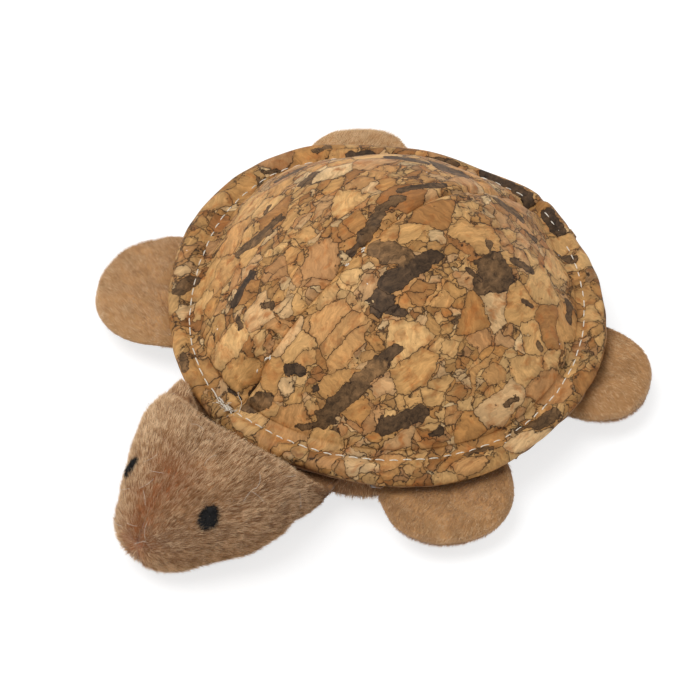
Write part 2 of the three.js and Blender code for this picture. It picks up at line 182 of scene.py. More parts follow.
# Shapes on grids of points, in mm
def ripple(points, wavelength, seed, waves=14):
    # smooth unevenness: the mean of sine waves in random directions, about -1 to 1
    dice = np.random.default_rng(seed)
    direction = dice.normal(size=(waves, 3))
    direction /= np.linalg.norm(direction, axis=1)[:, None]
    pitch = 2 * np.pi / (wavelength * dice.uniform(0.7, 1.5, waves))
    phase = dice.uniform(0, 2 * np.pi, waves)
    return np.sin((points @ direction.T) * pitch + phase).sum(-1) / math.sqrt(waves)


def smoothStep(low, high, value):
    # 0 up to low, 1 from high on, and three squares less two cubes of the share between them
    share = np.clip((value - low) / (high - low), 0, 1)
    return share * share * (3 - 2 * share)


def splineThrough(points, count):
    # Catmull-Rom along the first axis: each stretch leaves its ends in the direction of their neighbours
    points = np.asarray(points, float)
    last = len(points) - 1
    place = np.linspace(0, last, count)
    low = np.minimum(place.astype(int), last - 1)
    t = (place - low).reshape((-1,) + (1,) * (points.ndim - 1))
    p0, p1, p2, p3 = [points[np.clip(low + step, 0, last)] for step in (-1, 0, 1, 2)]
    return 0.5 * (2 * p1 + (p2 - p0) * t + (2 * p0 - 5 * p1 + 4 * p2 - p3) * t ** 2
                  + (3 * p1 - p0 - 3 * p2 + p3) * t ** 3)


def gridNormals(grid, wrap):
    # unit normals: across the rows times across the columns
    down = np.gradient(grid, axis=0)
    if wrap:
        across = (np.roll(grid, -1, 1) - np.roll(grid, 1, 1)) / 2
    else:
        across = np.gradient(grid, axis=1)
    normal = np.cross(across, down)
    return normal / np.maximum(np.linalg.norm(normal, axis=-1, keepdims=True), 1e-9)


def gridFaces(rows, columns, wrap):
    # a face between each two neighbours of a row and the two below them
    number = np.arange(rows * columns).reshape(rows, columns)
    right = np.roll(number, -1, 1) if wrap else number[:, 1:]
    left = number if wrap else number[:, :-1]
    return np.stack([left[:-1], left[1:], right[1:], right[:-1]], -1).reshape(-1, 4)


def facesAlong(grid, normal, wrap):
    # the grid's faces, wound so that they look the way of its normals
    faces = gridFaces(*grid.shape[:2], wrap)
    corner = grid.reshape(-1, 3)[faces]
    looks = np.cross(corner[:, 2] - corner[:, 0], corner[:, 3] - corner[:, 1])
    return faces if (looks * normal.reshape(-1, 3)[faces[:, 0]]).sum() > 0 else faces[:, ::-1]


def meshObject(name, points, faces, attributes=None, smooth=True):
    # a mesh from points in mm and faces that all have the same number of corners
    mesh = bpy.data.meshes.new(name)
    faces = np.asarray(faces, np.int32)
    mesh.vertices.add(len(points))
    mesh.vertices.foreach_set("co", (np.asarray(points, float) * mm).astype(np.float32).ravel())
    mesh.loops.add(faces.size)
    mesh.loops.foreach_set("vertex_index", faces.ravel())
    mesh.polygons.add(len(faces))
    mesh.polygons.foreach_set("loop_start", np.arange(0, faces.size, faces.shape[1], dtype=np.int32))
    mesh.update(calc_edges=True)
    for key, values in (attributes or {}).items():
        layer = mesh.attributes.new(key, "FLOAT", "POINT")
        layer.data.foreach_set("value", np.asarray(values, np.float32).ravel())
    mesh.polygons.foreach_set("use_smooth", np.full(len(faces), smooth))
    piece = bpy.data.objects.new(name, mesh)
    bpy.context.scene.collection.objects.link(piece)
    return piece


def closeDoubles(piece, outward=False):
    # points that lie on one another, as at the poles of a grid, become one; a closed form's faces are also
    # turned outwards
    work = bmesh.new()
    work.from_mesh(piece.data)
    bmesh.ops.remove_doubles(work, verts=work.verts, dist=1e-6)
    bmesh.ops.dissolve_degenerate(work, edges=work.edges, dist=1e-7)
    if outward:
        bmesh.ops.recalc_face_normals(work, faces=work.faces)
    work.to_mesh(piece.data)
    work.free()
    return piece


def thicken(piece, thickness):
    solid = piece.modifiers.new("thickness", "SOLIDIFY")
    solid.thickness, solid.offset = thickness * mm, -1.0
    return piece


def finishPiece(piece, material, body, replaced=()):
    piece.data.materials.append(material)
    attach(piece, body)
    if replaced:
        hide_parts(*replaced)
    return piece


airRun = {"timesLife": 10, "quality": 5, "mass": 0.3, "frames": 20}


def swell(points, faces, held, settings):
    # cloth with air inside, run at ten times life size because the cloth solver is tuned for furniture; how
    # far a point may move is capped. Gives back how each point moved, in mm
    scale = airRun["timesLife"] * mm
    mesh = bpy.data.meshes.new("clothRun")
    mesh.from_pydata((points * scale).tolist(), [], faces)
    run = bpy.data.objects.new("clothRun", mesh)
    bpy.context.scene.collection.objects.link(run)
    group = run.vertex_groups.new(name="held")
    group.add(np.nonzero(held)[0].tolist(), 1.0, "REPLACE")
    cloth = run.modifiers.new("cloth", "CLOTH")
    cloth.settings.quality = airRun["quality"]
    cloth.settings.mass = airRun["mass"]
    cloth.settings.tension_stiffness = cloth.settings.compression_stiffness = settings["stiffness"]
    cloth.settings.bending_stiffness = settings["bending"]
    cloth.settings.use_pressure = True
    cloth.settings.uniform_pressure_force = settings["pressure"]
    cloth.settings.shrink_min = -settings["slack"]
    cloth.settings.effector_weights.gravity = 0
    cloth.settings.vertex_group_mass = "held"
    cloth.point_cache.frame_end = airRun["frames"]
    for number in range(1, airRun["frames"] + 1):
        bpy.context.scene.frame_set(number)
    shaped = run.evaluated_get(bpy.context.evaluated_depsgraph_get()).data
    result = np.empty(len(points) * 3, np.float32)
    shaped.vertices.foreach_get("co", result)
    moved = result.reshape(-1, 3) / scale - points
    bpy.data.objects.remove(run)
    bpy.context.scene.frame_set(1)
    size = np.linalg.norm(moved, axis=1, keepdims=True)
    return moved * np.minimum(1, settings["cap"] / np.maximum(size, 1e-9))


def spreadOut(field, places, count):
    # a field known at some places of its first axis, straight between them
    target = np.arange(count)
    low = np.clip(np.searchsorted(places, target, "right") - 1, 0, len(places) - 2)
    t = ((target - places[low]) / (places[low + 1] - places[low])).reshape(-1, 1, 1)
    return field[low] * (1 - t) + field[low + 1] * t


def swellGrid(grid, normal, held, settings):
    # how far air under the cloth moves each point of a grid; the cloth is run on every few rows and columns,
    # with points that lie on one another, as at a pole or a closed seam, made one
    rows, columns = grid.shape[:2]
    some = [np.unique(np.append(np.arange(0, size, settings["step"]), size - 1)) for size in (rows, columns)]
    few = np.ix_(*some)
    points, first, same = np.unique(grid[few].reshape(-1, 3).round(5), axis=0, return_index=True,
                                    return_inverse=True)
    number = same.reshape(len(some[0]), -1)
    quads = np.stack([number[:-1, :-1], number[1:, :-1], number[1:, 1:], number[:-1, 1:]], -1).reshape(-1, 4)
    looks = np.cross(points[quads[:, 2]] - points[quads[:, 0]], points[quads[:, 3]] - points[quads[:, 1]])
    if (looks * normal[few].reshape(-1, 3)[first][quads[:, 1]]).sum() < 0:
        quads = quads[:, ::-1]
    faces = [face for face in (list(dict.fromkeys(quad)) for quad in quads.tolist()) if len(face) > 2]
    moved = swell(points, faces, held[few].ravel()[first], settings)[number]
    moved = spreadOut(moved, some[0], rows).swapaxes(0, 1)
    return spreadOut(moved, some[1], columns).swapaxes(0, 1)


def closeRing(field):
    # a field on rings of points, with the first column once more after the last
    return np.concatenate([field, field[:, :1]], 1)


def swellRing(ring, normal, held, settings):
    # the same for a grid of closed rings
    return swellGrid(closeRing(ring), closeRing(normal), closeRing(held), settings)[:, :-1]


def outlineRadius(angle, outline):
    # an oval between a circle and a rhombus, turned, with the small waves of a hand-cut edge
    turned = angle - math.radians(outline["twist"])
    across = np.abs(np.cos(turned) / outline["halfX"]) ** outline["power"]
    along = np.abs(np.sin(turned) / outline["halfY"]) ** outline["power"]
    radius = (across + along) ** (-1 / outline["power"]) + outline["offset"]
    for wave, (c, s) in enumerate(outline["waves"], 1):
        radius = radius + c * np.cos(wave * angle) + s * np.sin(wave * angle)
    return radius


# Shell: cork fabric in two panels, dome and brim in one, sewn together along the middle
shell = {
    "brim": {"halfX": 52.6, "halfY": 49.4, "power": 1.88, "twist": -9.3, "offset": -0.23,
             "waves": [(0.31, -0.28), (0.07, 0.01), (-0.68, 0.31), (0.13, -0.1), (-0.26, 0.03), (-0.31, 0)]},
    "stitch": {"halfX": 46.84, "halfY": 45.77, "power": 1.8, "twist": -7.3, "offset": 0.06,
               "waves": [(0.56, 0.03), (-0.09, -0.49), (-0.34, 0.2), (0.07, 0), (-0.26, 0.06)]},
    "footInset": 2.2, "footBack": 0.8, "leanBack": 4.2, "seamX": -1.0,
    "footDent": (2.0, 70.0, 22.0),  # depth, direction and width in degrees
    "stitchHeight": 14.5, "rise": 25.6, "fullness": 0.925, "fullnessChange": 0.1, "edgeHeight": 13.9, "hem": 2.0,
    "domeRows": 110, "columns": 440, "seamDepth": 0.6, "seamWidth": 1.0,
    "fabric": 0.6, "lips": (0.35, 1.1, 2.4), "seamGap": 0.03, "seamShift": 1.4, "seamShiftReach": 14.0,
    # how uneven the fabric is, as height, wavelength and seed; a dimple at each stitch along the stitched
    # valley; and gathers inside it
    "uneven": [(0.34, 24, 3), (0.11, 8, 4)], "stitches": 97, "dimple": 0.14, "valley": 0.1, "valleyWidth": 1.3,
    "gathers": {"height": 0.22, "inset": 3.2, "width": 2.6, "count": 41},
    "pucker": {"y": -40.2, "depth": 2.6, "halfWidth": 1.3, "halfLength": 2.0},
    # behind the front pucker: height, place aside of the seam and width of a crease and of the roll beside it
    "creases": [(-0.9, -1.6, 0.8), (0.8, -5.0, 2.4)],
    # the fold at its foot, and how far it slants
    "fold": {"depth": 0.9, "slant": 0.12, "ahead": 2.2, "halfLength": 0.7, "right": 1.2, "halfWidth": 2.6},
    "rearPucker": {"y": 41.0, "depth": 1.2, "halfWidth": 1.6, "halfLength": 2.6},
    "air": {"step": 5, "stiffness": 25, "bending": 0.4, "pressure": 4.0, "slack": 0.02, "cap": 0.7},
}


def outlineXY(angle, outline, inset=0.0):
    # the middle seam's plane lies a little to the right, so the outline's ends are drawn over to it
    radius = outlineRadius(angle, outline) - inset
    x = radius * np.cos(angle) + shell["seamX"] * np.sin(angle) ** 2
    return np.stack([x, radius * np.sin(angle)], -1)


def domeRows(angle, shares):
    # rings shrinking to the crest: height is the rise times (1 - share squared) to a power that is lower at
    # the front, and the rings lean back towards the crest
    depth, at, width = shell["footDent"]
    away = (np.degrees(angle) - at + 180) % 360 - 180
    foot = outlineXY(angle, shell["stitch"], shell["footInset"] + depth * np.exp(-(away / width) ** 2))
    share = np.asarray(shares)[:, None]
    power = shell["fullness"] + shell["fullnessChange"] * np.sin(angle)
    height = shell["stitchHeight"] + 0.3 + shell["rise"] * (1 - share ** 2) ** power
    x = shell["seamX"] + share * (foot[:, 0] - shell["seamX"])
    y = shell["footBack"] + shell["leanBack"] * (1 - share ** 2) + share * foot[:, 1]
    return np.stack([x, y, height], -1)


def brimRows(angle):
    # from the stitch valley over the soft crown of the brim, round the rolled hem, and back under it
    edge = shell["edgeHeight"]
    stitch, brim = outlineXY(angle, shell["stitch"]), outlineXY(angle, shell["brim"])
    section = [
        (-0.16, 14.9), (0.0, 14.35), (0.22, 14.85), (0.5, edge + 1.05), (0.78, edge + 0.55), (0.94, edge - 0.1),
        (1.0, edge - 0.95), (0.95, edge - 1.75), (0.8, edge - shell["hem"]), (0.45, edge - shell["hem"] + 0.35),
        (0.0, edge - shell["hem"] + 0.9), (-0.3, edge - shell["hem"] + 1.0),
    ]
    rows = [np.concatenate([stitch + share * (brim - stitch), np.full((len(angle), 1), z)], 1)
            for share, z in section]
    return splineThrough(rows, 44)


def shellGrid(angle, domeCount):
    # rows from the crest to the foot and on over the brim, eased where the two meet
    shares = np.sin(np.linspace(0, 1, domeCount) * math.pi / 2) ** 0.9
    grid = np.concatenate([domeRows(angle, shares), brimRows(angle)[1:]])
    band = slice(domeCount - 5, domeCount + 6)
    for _ in range(6):
        eased = (grid[:-2] + 2 * grid[1:-1] + grid[2:]) / 4
        grid[1:-1][band] = eased[band]
    return grid


def shellRelief(grid, normal):
    # how far the fabric lies above or below its plain form: slow unevenness, small gathers and a dimple at
    # each stitch, the valley of the middle seam, and the puckers where that seam ends, all of them smooth bells
    # or waves added up
    flat = grid.reshape(-1, 3)
    angle = np.arctan2(flat[:, 1], flat[:, 0])
    radius = np.hypot(flat[:, 0], flat[:, 1])
    stitch = outlineRadius(angle, shell["stitch"])
    nearStitch = np.exp(-((radius - stitch) / shell["valleyWidth"]) ** 2)
    onTop = smoothStep(12.6, 14, flat[:, 2])
    depth = sum(height * ripple(flat, wavelength, seed) for height, wavelength, seed in shell["uneven"])
    depth += onTop * nearStitch * (shell["dimple"] * np.cos(angle * shell["stitches"]) - shell["valley"])
    inside = smoothStep(0.5, 3.5, stitch - radius)
    gathers = shell["gathers"]
    band = np.exp(-((stitch - radius - gathers["inset"]) / gathers["width"]) ** 2)
    depth += gathers["height"] * band * inside * np.sin(angle * gathers["count"] + 3 * np.sin(angle * 3))
    aside = flat[:, 0] - shell["seamX"]
    depth -= onTop * shell["seamDepth"] * np.exp(-(aside / shell["seamWidth"]) ** 2)
    front = shell["pucker"]
    depth -= front["depth"] * np.exp(-(aside / front["halfWidth"]) ** 2
                                     - ((flat[:, 1] - front["y"]) / front["halfLength"]) ** 2) * onTop
    behind = (smoothStep(front["y"], front["y"] + 3, flat[:, 1])
              * smoothStep(front["y"] + 15, front["y"] + 4, flat[:, 1]))
    for height, place, width in shell["creases"]:
        depth += height * onTop * behind * np.exp(-((aside - place) / width) ** 2)
    fold = shell["fold"]
    ahead = flat[:, 1] - front["y"] + fold["slant"] * aside + fold["ahead"]
    depth -= fold["depth"] * onTop * np.exp(-(ahead / fold["halfLength"]) ** 2
                                            - ((aside + fold["right"]) / fold["halfWidth"]) ** 2)
    rear = shell["rearPucker"]
    depth -= rear["depth"] * onTop * np.exp(-(aside / rear["halfWidth"]) ** 2
                                            - ((flat[:, 1] - rear["y"]) / rear["halfLength"]) ** 2)
    return grid + normal * depth.reshape(grid.shape[:2])[..., None]


def seamAside(points):
    # the middle seam runs a little to the left of the outline's own middle; the shift fades to both sides
    moved = points.copy()
    away = (points[..., 0] - shell["seamX"]) / shell["seamShiftReach"]
    moved[..., 0] += shell["seamShift"] * np.exp(-away ** 2)
    return moved


def addShellPanel(name, side, material):
    # half of the shell, from the middle seam at one end round to the seam at the other
    low = -math.pi / 2 if side > 0 else math.pi / 2
    angle = np.linspace(low, low + math.pi, shell["columns"] // 2)
    grid = shellGrid(angle, shell["domeRows"])
    normal = gridNormals(grid, False)
    normal[0] = (0, 0, 1)
    if normal[shell["domeRows"] // 2, :, 2].mean() < 0:
        normal = -normal
    held = np.zeros(grid.shape[:2], bool)
    held[shell["domeRows"] - 4:] = held[0] = held[:, [0, -1]] = True
    grid = shellRelief(grid + swellGrid(grid, normal, held, shell["air"]), normal)
    grid[:, [0, -1], 0] = shell["seamX"]
    grid = seamAside(grid)
    bark, tone = barkField(grid)
    # the seam allowance: a lip that turns down inside along the seam
    fade = np.linspace(1, 0.05, len(grid)) ** 0.3
    fade[shell["domeRows"]:] = 0.06
    lips = [np.array([[0, 0, -1.0]]) * (depth * fade)[:, None] for depth in shell["lips"]]
    start = [grid[:, :1] + lip[:, None] for lip in reversed(lips)]
    end = [grid[:, -1:] + lip[:, None] for lip in lips]
    grid = np.concatenate(start + [grid] + end, 1)
    grid[..., 0] += side * shell["seamGap"]
    rows, columns = grid.shape[:2]
    edge = [(0, 0), (len(lips), len(lips))]
    piece = meshObject(name, grid.reshape(-1, 3), gridFaces(rows, columns, False),
                       {"bark": np.pad(bark, edge, "edge"), "barkTone": np.pad(tone, edge, "edge")})
    closeDoubles(piece)
    thicken(piece, shell["fabric"])
    finishPiece(piece, material, "root", [name.replace("cork", "shell_panel")])


# Cork fabric: granules of cork glued in a block, shaved thin and laid on cloth. The eye sees flat grains of
# mixed size and colour with thin dark cracks between them.
cork = {
    "perMetre": (1000, 780, 1000),  # from metres to mm, with the grains a little longer lengthwise
    # sizes of grain in mm, how often one is split into smaller ones, and the noise that bends them: its scale
    # per mm and its reach in mm
    "grains": (7.4, 4.4, 2.7), "splits": (0.5, 0.36), "push": [(0.16, 3.4), (0.5, 1.5), (1.5, 0.6)],
    # fibres and growth bands: scale per mm on three axes, darkest and lightest shade
    "bands": [((0.3, 2.4, 1.2), 0.82, 1.14), ((0.1, 0.75, 0.4), 0.8, 1.16)],
    "grainEdge": 0.78, "grainMiddle": 1.04, "edgeReach": 0.9, "darkGrain": 0.82, "paleGrain": 1.16,
    # the brim's painted shade, and the heights from the brim to the dome over which it fades
    "brimPaintedShade": 0.86, "brimBelow": 0.0148, "domeAbove": 0.0175,
    "crack": 0.2, "raggedRim": 3.2, "barkAbove": 0.99, "glueAbove": 0.965, "bumpDepth": 0.00009,
    "tans": [(0.0, "96663a"), (0.12, "b17f48"), (0.3, "c2935a"), (0.5, "cea36b"), (0.68, "bf8e56"),
             (0.8, "b48354"), (0.9, "dcb987"), (1.0, "a56f3e")],
    "redStain": "a3632f", "crackColour": "24150b", "glueColour": "f1e8dc", "barks": ("3a2c20", "85633f"),
    # darker grains of bark, two of them painted shadow: x, y of both ends, half width, and 0 for the darkest to 1
    # for mid brown
    "barkAndShadowGrains": [
        (11.2, -9.7, 12.8, 2.2, 2.2, 0.15), (3.5, -5.7, 8.8, -3.0, 2.6, 0.75), (-0.9, -6.1, -2.9, 0.9, 1.4, 0.35),
        (-3.5, 2.0, -3.8, 7.6, 1.3, 0.4), (-5.3, 9.8, -2.0, 19.6, 0.9, 0.25), (-0.5, -9.4, -0.6, -5.3, 0.9, 0.2),
        (21.3, 19.1, 23.1, 22.7, 1.1, 0.3), (15.9, 16.5, 18.4, 14.3, 0.6, 0.4), (19.2, 7.1, 21.6, 8.1, 0.7, 0.3),
        (-14.4, 44.0, -7.4, 45.5, 1.2, 0.1), (-5.1, 45.7, -0.1, 45.0, 1.5, 0.2), (4.6, 45.5, 9.2, 44.8, 1.9, 0.15),
        (-16.4, -30.1, -16.8, -24.8, 1.5, 0.1), (-26.3, -20.2, -22.8, -14.4, 1.4, 0.65),
        (-35.4, -19.9, -35.4, -16.7, 0.8, 0.9), (-12.0, -33.1, -10.3, -33.9, 0.8, 0.3),
        (-7.6, -28.6, -6.4, -27.9, 0.9, 0.35), (6.0, -34.5, 8.7, -33.3, 1.2, 0.15),
        (18.4, -34.5, 21.1, -26.4, 2.1, 0.45), (20.4, -25.6, 21.8, -20.6, 1.8, 0.8),
        (20.9, -20.8, 22.2, -16.5, 1.2, 0.25), (2.2, -42.8, 6.3, -40.8, 1.7, 0.55),
        (15.0, -39.4, 20.7, -34.4, 0.9, 0.45), (-33.4, -31.6, -34.0, -27.8, 1.7, 0.5),
        (-18.4, -43.8, -15.4, -46.0, 0.8, 0.6), (29.9, -27.0, 33.3, -19.5, 1.8, 0.25),
        (37.0, -20.2, 37.8, -18.0, 0.7, 0.2), (44.7, -16.1, 46.7, -11.2, 0.8, 0.5),
        (47.1, -3.7, 47.7, -0.2, 0.8, 0.5), (48.8, 1.3, 48.8, 6.2, 1.5, 0.5), (36.5, 12.2, 37.2, 12.3, 0.9, 0.5),
        (15.2, 38.2, 18.7, 40.6, 1.1, 0.4), (-39.0, 24.8, -36.6, 28.7, 1.1, 0.1),
        (-45.0, 19.4, -43.8, 22.5, 0.9, 0.7), (-24.8, -16.9, -23.2, -10.4, 1.2, 0.4),
        (-29.5, -9.5, -30.2, -8.0, 0.7, 0.4), (-48.3, 6.1, -47.1, 8.5, 0.6, 0.5),
        (28.3, 14.9, 29.6, 16.8, 0.6, 0.3), (42.6, -3.6, 42.3, -0.4, 0.6, 0.35),
        # the grain from -4.4, -42.9 and the one from 0.5, -40.6 are painted shadow: under the dome's foot beside
        # the front pucker and in its notch
        (13.4, -33.4, 14.5, -32.7, 0.7, 0.2), (-4.4, -42.9, -0.6, -42.2, 0.45, 0.1),
        (0.5, -40.6, 0.7, -38.2, 0.45, 0.1),
        (-20.0, 20.0, -14.0, 24.0, 1.6, 0.3), (5.0, 30.0, 9.0, 33.0, 1.5, 0.5), (-38.0, 2.0, -36.0, 8.0, 1.3, 0.4),
        (30.0, 28.0, 33.0, 25.0, 1.4, 0.3), (-26.0, 36.0, -21.0, 40.0, 1.4, 0.5)],
}


def barkField(points):
    # how far each point lies inside the nearest dark grain in mm, and that grain's tone: a grain is the
    # space within its half width of the line between its ends, which are lifted onto the shell first
    top = points[:shell["domeRows"] + 18].reshape(-1, 3)
    depth, tone = np.full(points.shape[:2], -9.0), np.full(points.shape[:2], 0.5)
    for x0, y0, x1, y1, halfWidth, shade in cork["barkAndShadowGrains"]:
        ends = [top[np.argmin(((top[:, :2] - end) ** 2).sum(1))] for end in ((x0, y0), (x1, y1))]
        if max(np.hypot(ends[0][0] - x0, ends[0][1] - y0), np.hypot(ends[1][0] - x1, ends[1][1] - y1)) > 1:
            continue
        line = ends[1] - ends[0]
        share = np.clip(((points - ends[0]) @ line) / max(line @ line, 0.01), 0, 1)[..., None]
        inside = halfWidth - np.linalg.norm(points - ends[0] - line * share, axis=-1)
        tone = np.where(inside > depth, shade, tone)
        depth = np.maximum(depth, inside)
    return depth, tone


def corkMaterial(name, offset):
    # grains are the cells round scattered points, in three sizes; chance picks which size is seen at a place
    material, tree = newMaterial(name)
    where = addNode(tree, "ShaderNodeTexCoord").outputs["Object"]
    place = addNode(tree, "ShaderNodeMapping", {"Vector": where, "Location": offset, "Scale": cork["perMetre"]})
    pushed = place
    for scale, reach in cork["push"]:
        noise = addNode(tree, "ShaderNodeTexNoise", {"Vector": place, "Scale": scale, "Detail": 2.0})
        centred = addNode(tree, "ShaderNodeVectorMath", {0: noise.outputs["Color"], 1: (0.5, 0.5, 0.5)},
                          operation="SUBTRACT")
        pushed = addNode(tree, "ShaderNodeVectorMath", {0: centred, 1: (reach, reach, reach), 2: pushed},
                         operation="MULTIPLY_ADD")
    cells, edges = [], []
    for size in cork["grains"]:
        cells.append(addNode(tree, "ShaderNodeTexVoronoi", {"Vector": pushed, "Scale": 1 / size}))
        edge = addNode(tree, "ShaderNodeTexVoronoi", {"Vector": pushed, "Scale": 1 / size},
                       feature="DISTANCE_TO_EDGE")
        edges.append(addNode(tree, "ShaderNodeMath", {0: edge.outputs["Distance"], 1: size}, operation="MULTIPLY"))
    picks = [addNode(tree, "ShaderNodeSeparateColor", {"Color": cell.outputs["Color"]}) for cell in cells]
    split = addNode(tree, "ShaderNodeMath", {0: picks[0], 1: cork["splits"][0]}, operation="LESS_THAN")
    again = addNode(tree, "ShaderNodeMath", {0: picks[1], 1: cork["splits"][1]}, operation="LESS_THAN")
    again = addNode(tree, "ShaderNodeMath", {0: again, 1: split}, operation="MULTIPLY")
    # the random numbers of the grain that wins, and the nearest crack
    dice, crack = cells[0].outputs["Color"], edges[0]
    for level, chosen in ((1, split), (2, again)):
        dice = addNode(tree, "ShaderNodeMix", {0: chosen, 6: dice, 7: cells[level].outputs["Color"]},
                       data_type="RGBA").outputs[2]
        nearer = addNode(tree, "ShaderNodeMath", {0: crack, 1: edges[level]}, operation="MINIMUM")
        crack = addNode(tree, "ShaderNodeMix", {0: chosen, 2: crack, 3: nearer})
    numbers = addNode(tree, "ShaderNodeSeparateColor", {"Color": dice})

    tans = addNode(tree, "ShaderNodeValToRGB", {"Fac": numbers.outputs[1]})
    setRamp(tans, cork["tans"])
    # fibres and growth bands run their own way in each grain
    turn = addNode(tree, "ShaderNodeMath", {0: numbers.outputs[2], 1: 6.3}, operation="MULTIPLY")
    turned = addNode(tree, "ShaderNodeVectorRotate", {"Vector": pushed, "Angle": turn}, rotation_type="Z_AXIS")
    shades = []
    for stretch, darkest, lightest in cork["bands"]:
        stretched = addNode(tree, "ShaderNodeMapping", {"Vector": turned, "Scale": stretch})
        streak = addNode(tree, "ShaderNodeTexNoise", {"Vector": stretched, "Scale": 1.0, "Detail": 3.0})
        shades.append(addNode(tree, "ShaderNodeMapRange", {"Value": streak, "From Min": 0.33, "From Max": 0.67,
                                                           "To Min": darkest, "To Max": lightest}))
    # each grain gets darker towards its edge, some are paler as a whole, and the brim is painted a little
    # darker than the dome: painted shade
    spot = addNode(tree, "ShaderNodeSeparateXYZ", {"Vector": where})
    for feeds in ({"Value": crack, "From Max": cork["edgeReach"], "To Min": cork["grainEdge"],
                   "To Max": cork["grainMiddle"]},
                  {"Value": numbers, "To Min": cork["darkGrain"], "To Max": cork["paleGrain"]},
                  {"Value": spot.outputs[2], "From Min": cork["brimBelow"], "From Max": cork["domeAbove"],
                   "To Min": cork["brimPaintedShade"], "To Max": 1.0}):
        shades.append(addNode(tree, "ShaderNodeMapRange", feeds))
    shade = shades[0]
    for factor in shades[1:]:
        shade = addNode(tree, "ShaderNodeMath", {0: shade, 1: factor}, operation="MULTIPLY")
    mottle = addNode(tree, "ShaderNodeTexNoise", {"Vector": pushed, "Scale": 0.4, "Detail": 4.0})
    stain = addNode(tree, "ShaderNodeMapRange",
                    {"Value": mottle, "From Min": 0.5, "From Max": 0.72, "To Max": 0.8})
    colour = addNode(tree, "ShaderNodeMix", {0: stain, 6: tans, 7: linearColour(cork["redStain"])},
                     data_type="RGBA").outputs[2]

    # grains of bark: the mesh carries how far a point lies inside one, and its edge is ragged
    inside = addNode(tree, "ShaderNodeAttribute", attribute_name="bark")
    tone = addNode(tree, "ShaderNodeAttribute", attribute_name="barkTone")
    ragged = addNode(tree, "ShaderNodeTexNoise", {"Vector": place, "Scale": 0.42, "Detail": 3.0})
    rim = addNode(tree, "ShaderNodeMath", {0: ragged, 1: cork["raggedRim"], 2: inside.outputs["Fac"]},
                  operation="MULTIPLY_ADD")
    rim = addNode(tree, "ShaderNodeMath", {0: rim, 1: cork["raggedRim"] / 2}, operation="SUBTRACT")
    dark = addNode(tree, "ShaderNodeMath", {0: rim, 1: 0.0}, operation="GREATER_THAN")
    rest = addNode(tree, "ShaderNodeMath", {0: numbers, 1: cork["barkAbove"]}, operation="GREATER_THAN")
    bark = addNode(tree, "ShaderNodeMix", {0: tone.outputs["Fac"], 6: linearColour(cork["barks"][0]),
                                           7: linearColour(cork["barks"][1])}, data_type="RGBA")
    # bark is blotched with black and lighter where the cork shows through
    blotch = addNode(tree, "ShaderNodeTexNoise",
                     {"Vector": turned, "Scale": 0.55, "Detail": 5.0, "Roughness": 0.7})
    blotch = addNode(tree, "ShaderNodeMapRange", {"Value": blotch, "From Min": 0.36, "From Max": 0.64,
                                                  "To Min": 0.45, "To Max": 1.6})
    bark = addNode(tree, "ShaderNodeVectorMath", {0: bark.outputs[2], "Scale": blotch}, operation="SCALE")
    either = addNode(tree, "ShaderNodeMath", {0: dark, 1: rest}, operation="MAXIMUM")
    colour = addNode(tree, "ShaderNodeMix", {0: either, 6: colour, 7: bark}, data_type="RGBA")
    colour = addNode(tree, "ShaderNodeVectorMath", {0: colour.outputs[2], "Scale": shade}, operation="SCALE")
    # no crack runs inside a grain of bark, one runs round it
    ring = addNode(tree, "ShaderNodeMath", {0: rim}, operation="ABSOLUTE")
    plain = addNode(tree, "ShaderNodeMath", {0: dark, 1: 0.6, 2: crack}, operation="MULTIPLY_ADD")
    crack = addNode(tree, "ShaderNodeMath", {0: ring, 1: plain}, operation="MINIMUM")

    # cracks of uneven width, dark flecks most of all along them, and specks of white where glue shows
    width = addNode(tree, "ShaderNodeTexNoise", {"Vector": pushed, "Scale": 0.35, "Detail": 3.0})
    width = addNode(tree, "ShaderNodeMapRange", {"Value": width, "From Min": 0.36, "From Max": 0.66,
                                                 "To Min": 0.02, "To Max": cork["crack"]})
    line = addNode(tree, "ShaderNodeMapRange", {"Value": crack, "From Max": width, "To Min": 0.95, "To Max": 0.0})
    fleck = addNode(tree, "ShaderNodeTexNoise",
                    {"Vector": turned, "Scale": 0.75, "Detail": 5.0, "Roughness": 0.72})
    nearCrack = addNode(tree, "ShaderNodeMapRange",
                        {"Value": crack, "From Max": 0.8, "To Min": 0.1, "To Max": 0.0})
    fleck = addNode(tree, "ShaderNodeMath", {0: fleck, 1: nearCrack}, operation="ADD")
    fleck = addNode(tree, "ShaderNodeMapRange",
                    {"Value": fleck, "From Min": 0.65, "From Max": 0.71, "To Max": 0.9})
    line = addNode(tree, "ShaderNodeMath", {0: line, 1: fleck}, operation="MAXIMUM")
    colour = addNode(tree, "ShaderNodeMix", {0: line, 6: colour, 7: linearColour(cork["crackColour"])},
                     data_type="RGBA").outputs[2]
    dots = addNode(tree, "ShaderNodeTexVoronoi", {"Vector": pushed, "Scale": 0.4})
    chance = addNode(tree, "ShaderNodeSeparateColor", {"Color": dots.outputs["Color"]})
    few = addNode(tree, "ShaderNodeMath", {0: chance, 1: cork["glueAbove"]}, operation="GREATER_THAN")
    glue = addNode(tree, "ShaderNodeMapRange", {"Value": dots.outputs["Distance"], "From Min": 0.05,
                                                "From Max": 0.1, "To Min": 0.85, "To Max": 0.0})
    glue = addNode(tree, "ShaderNodeMath", {0: glue, 1: few}, operation="MULTIPLY")
    colour = addNode(tree, "ShaderNodeMix", {0: glue, 6: colour, 7: linearColour(cork["glueColour"])},
                     data_type="RGBA").outputs[2]

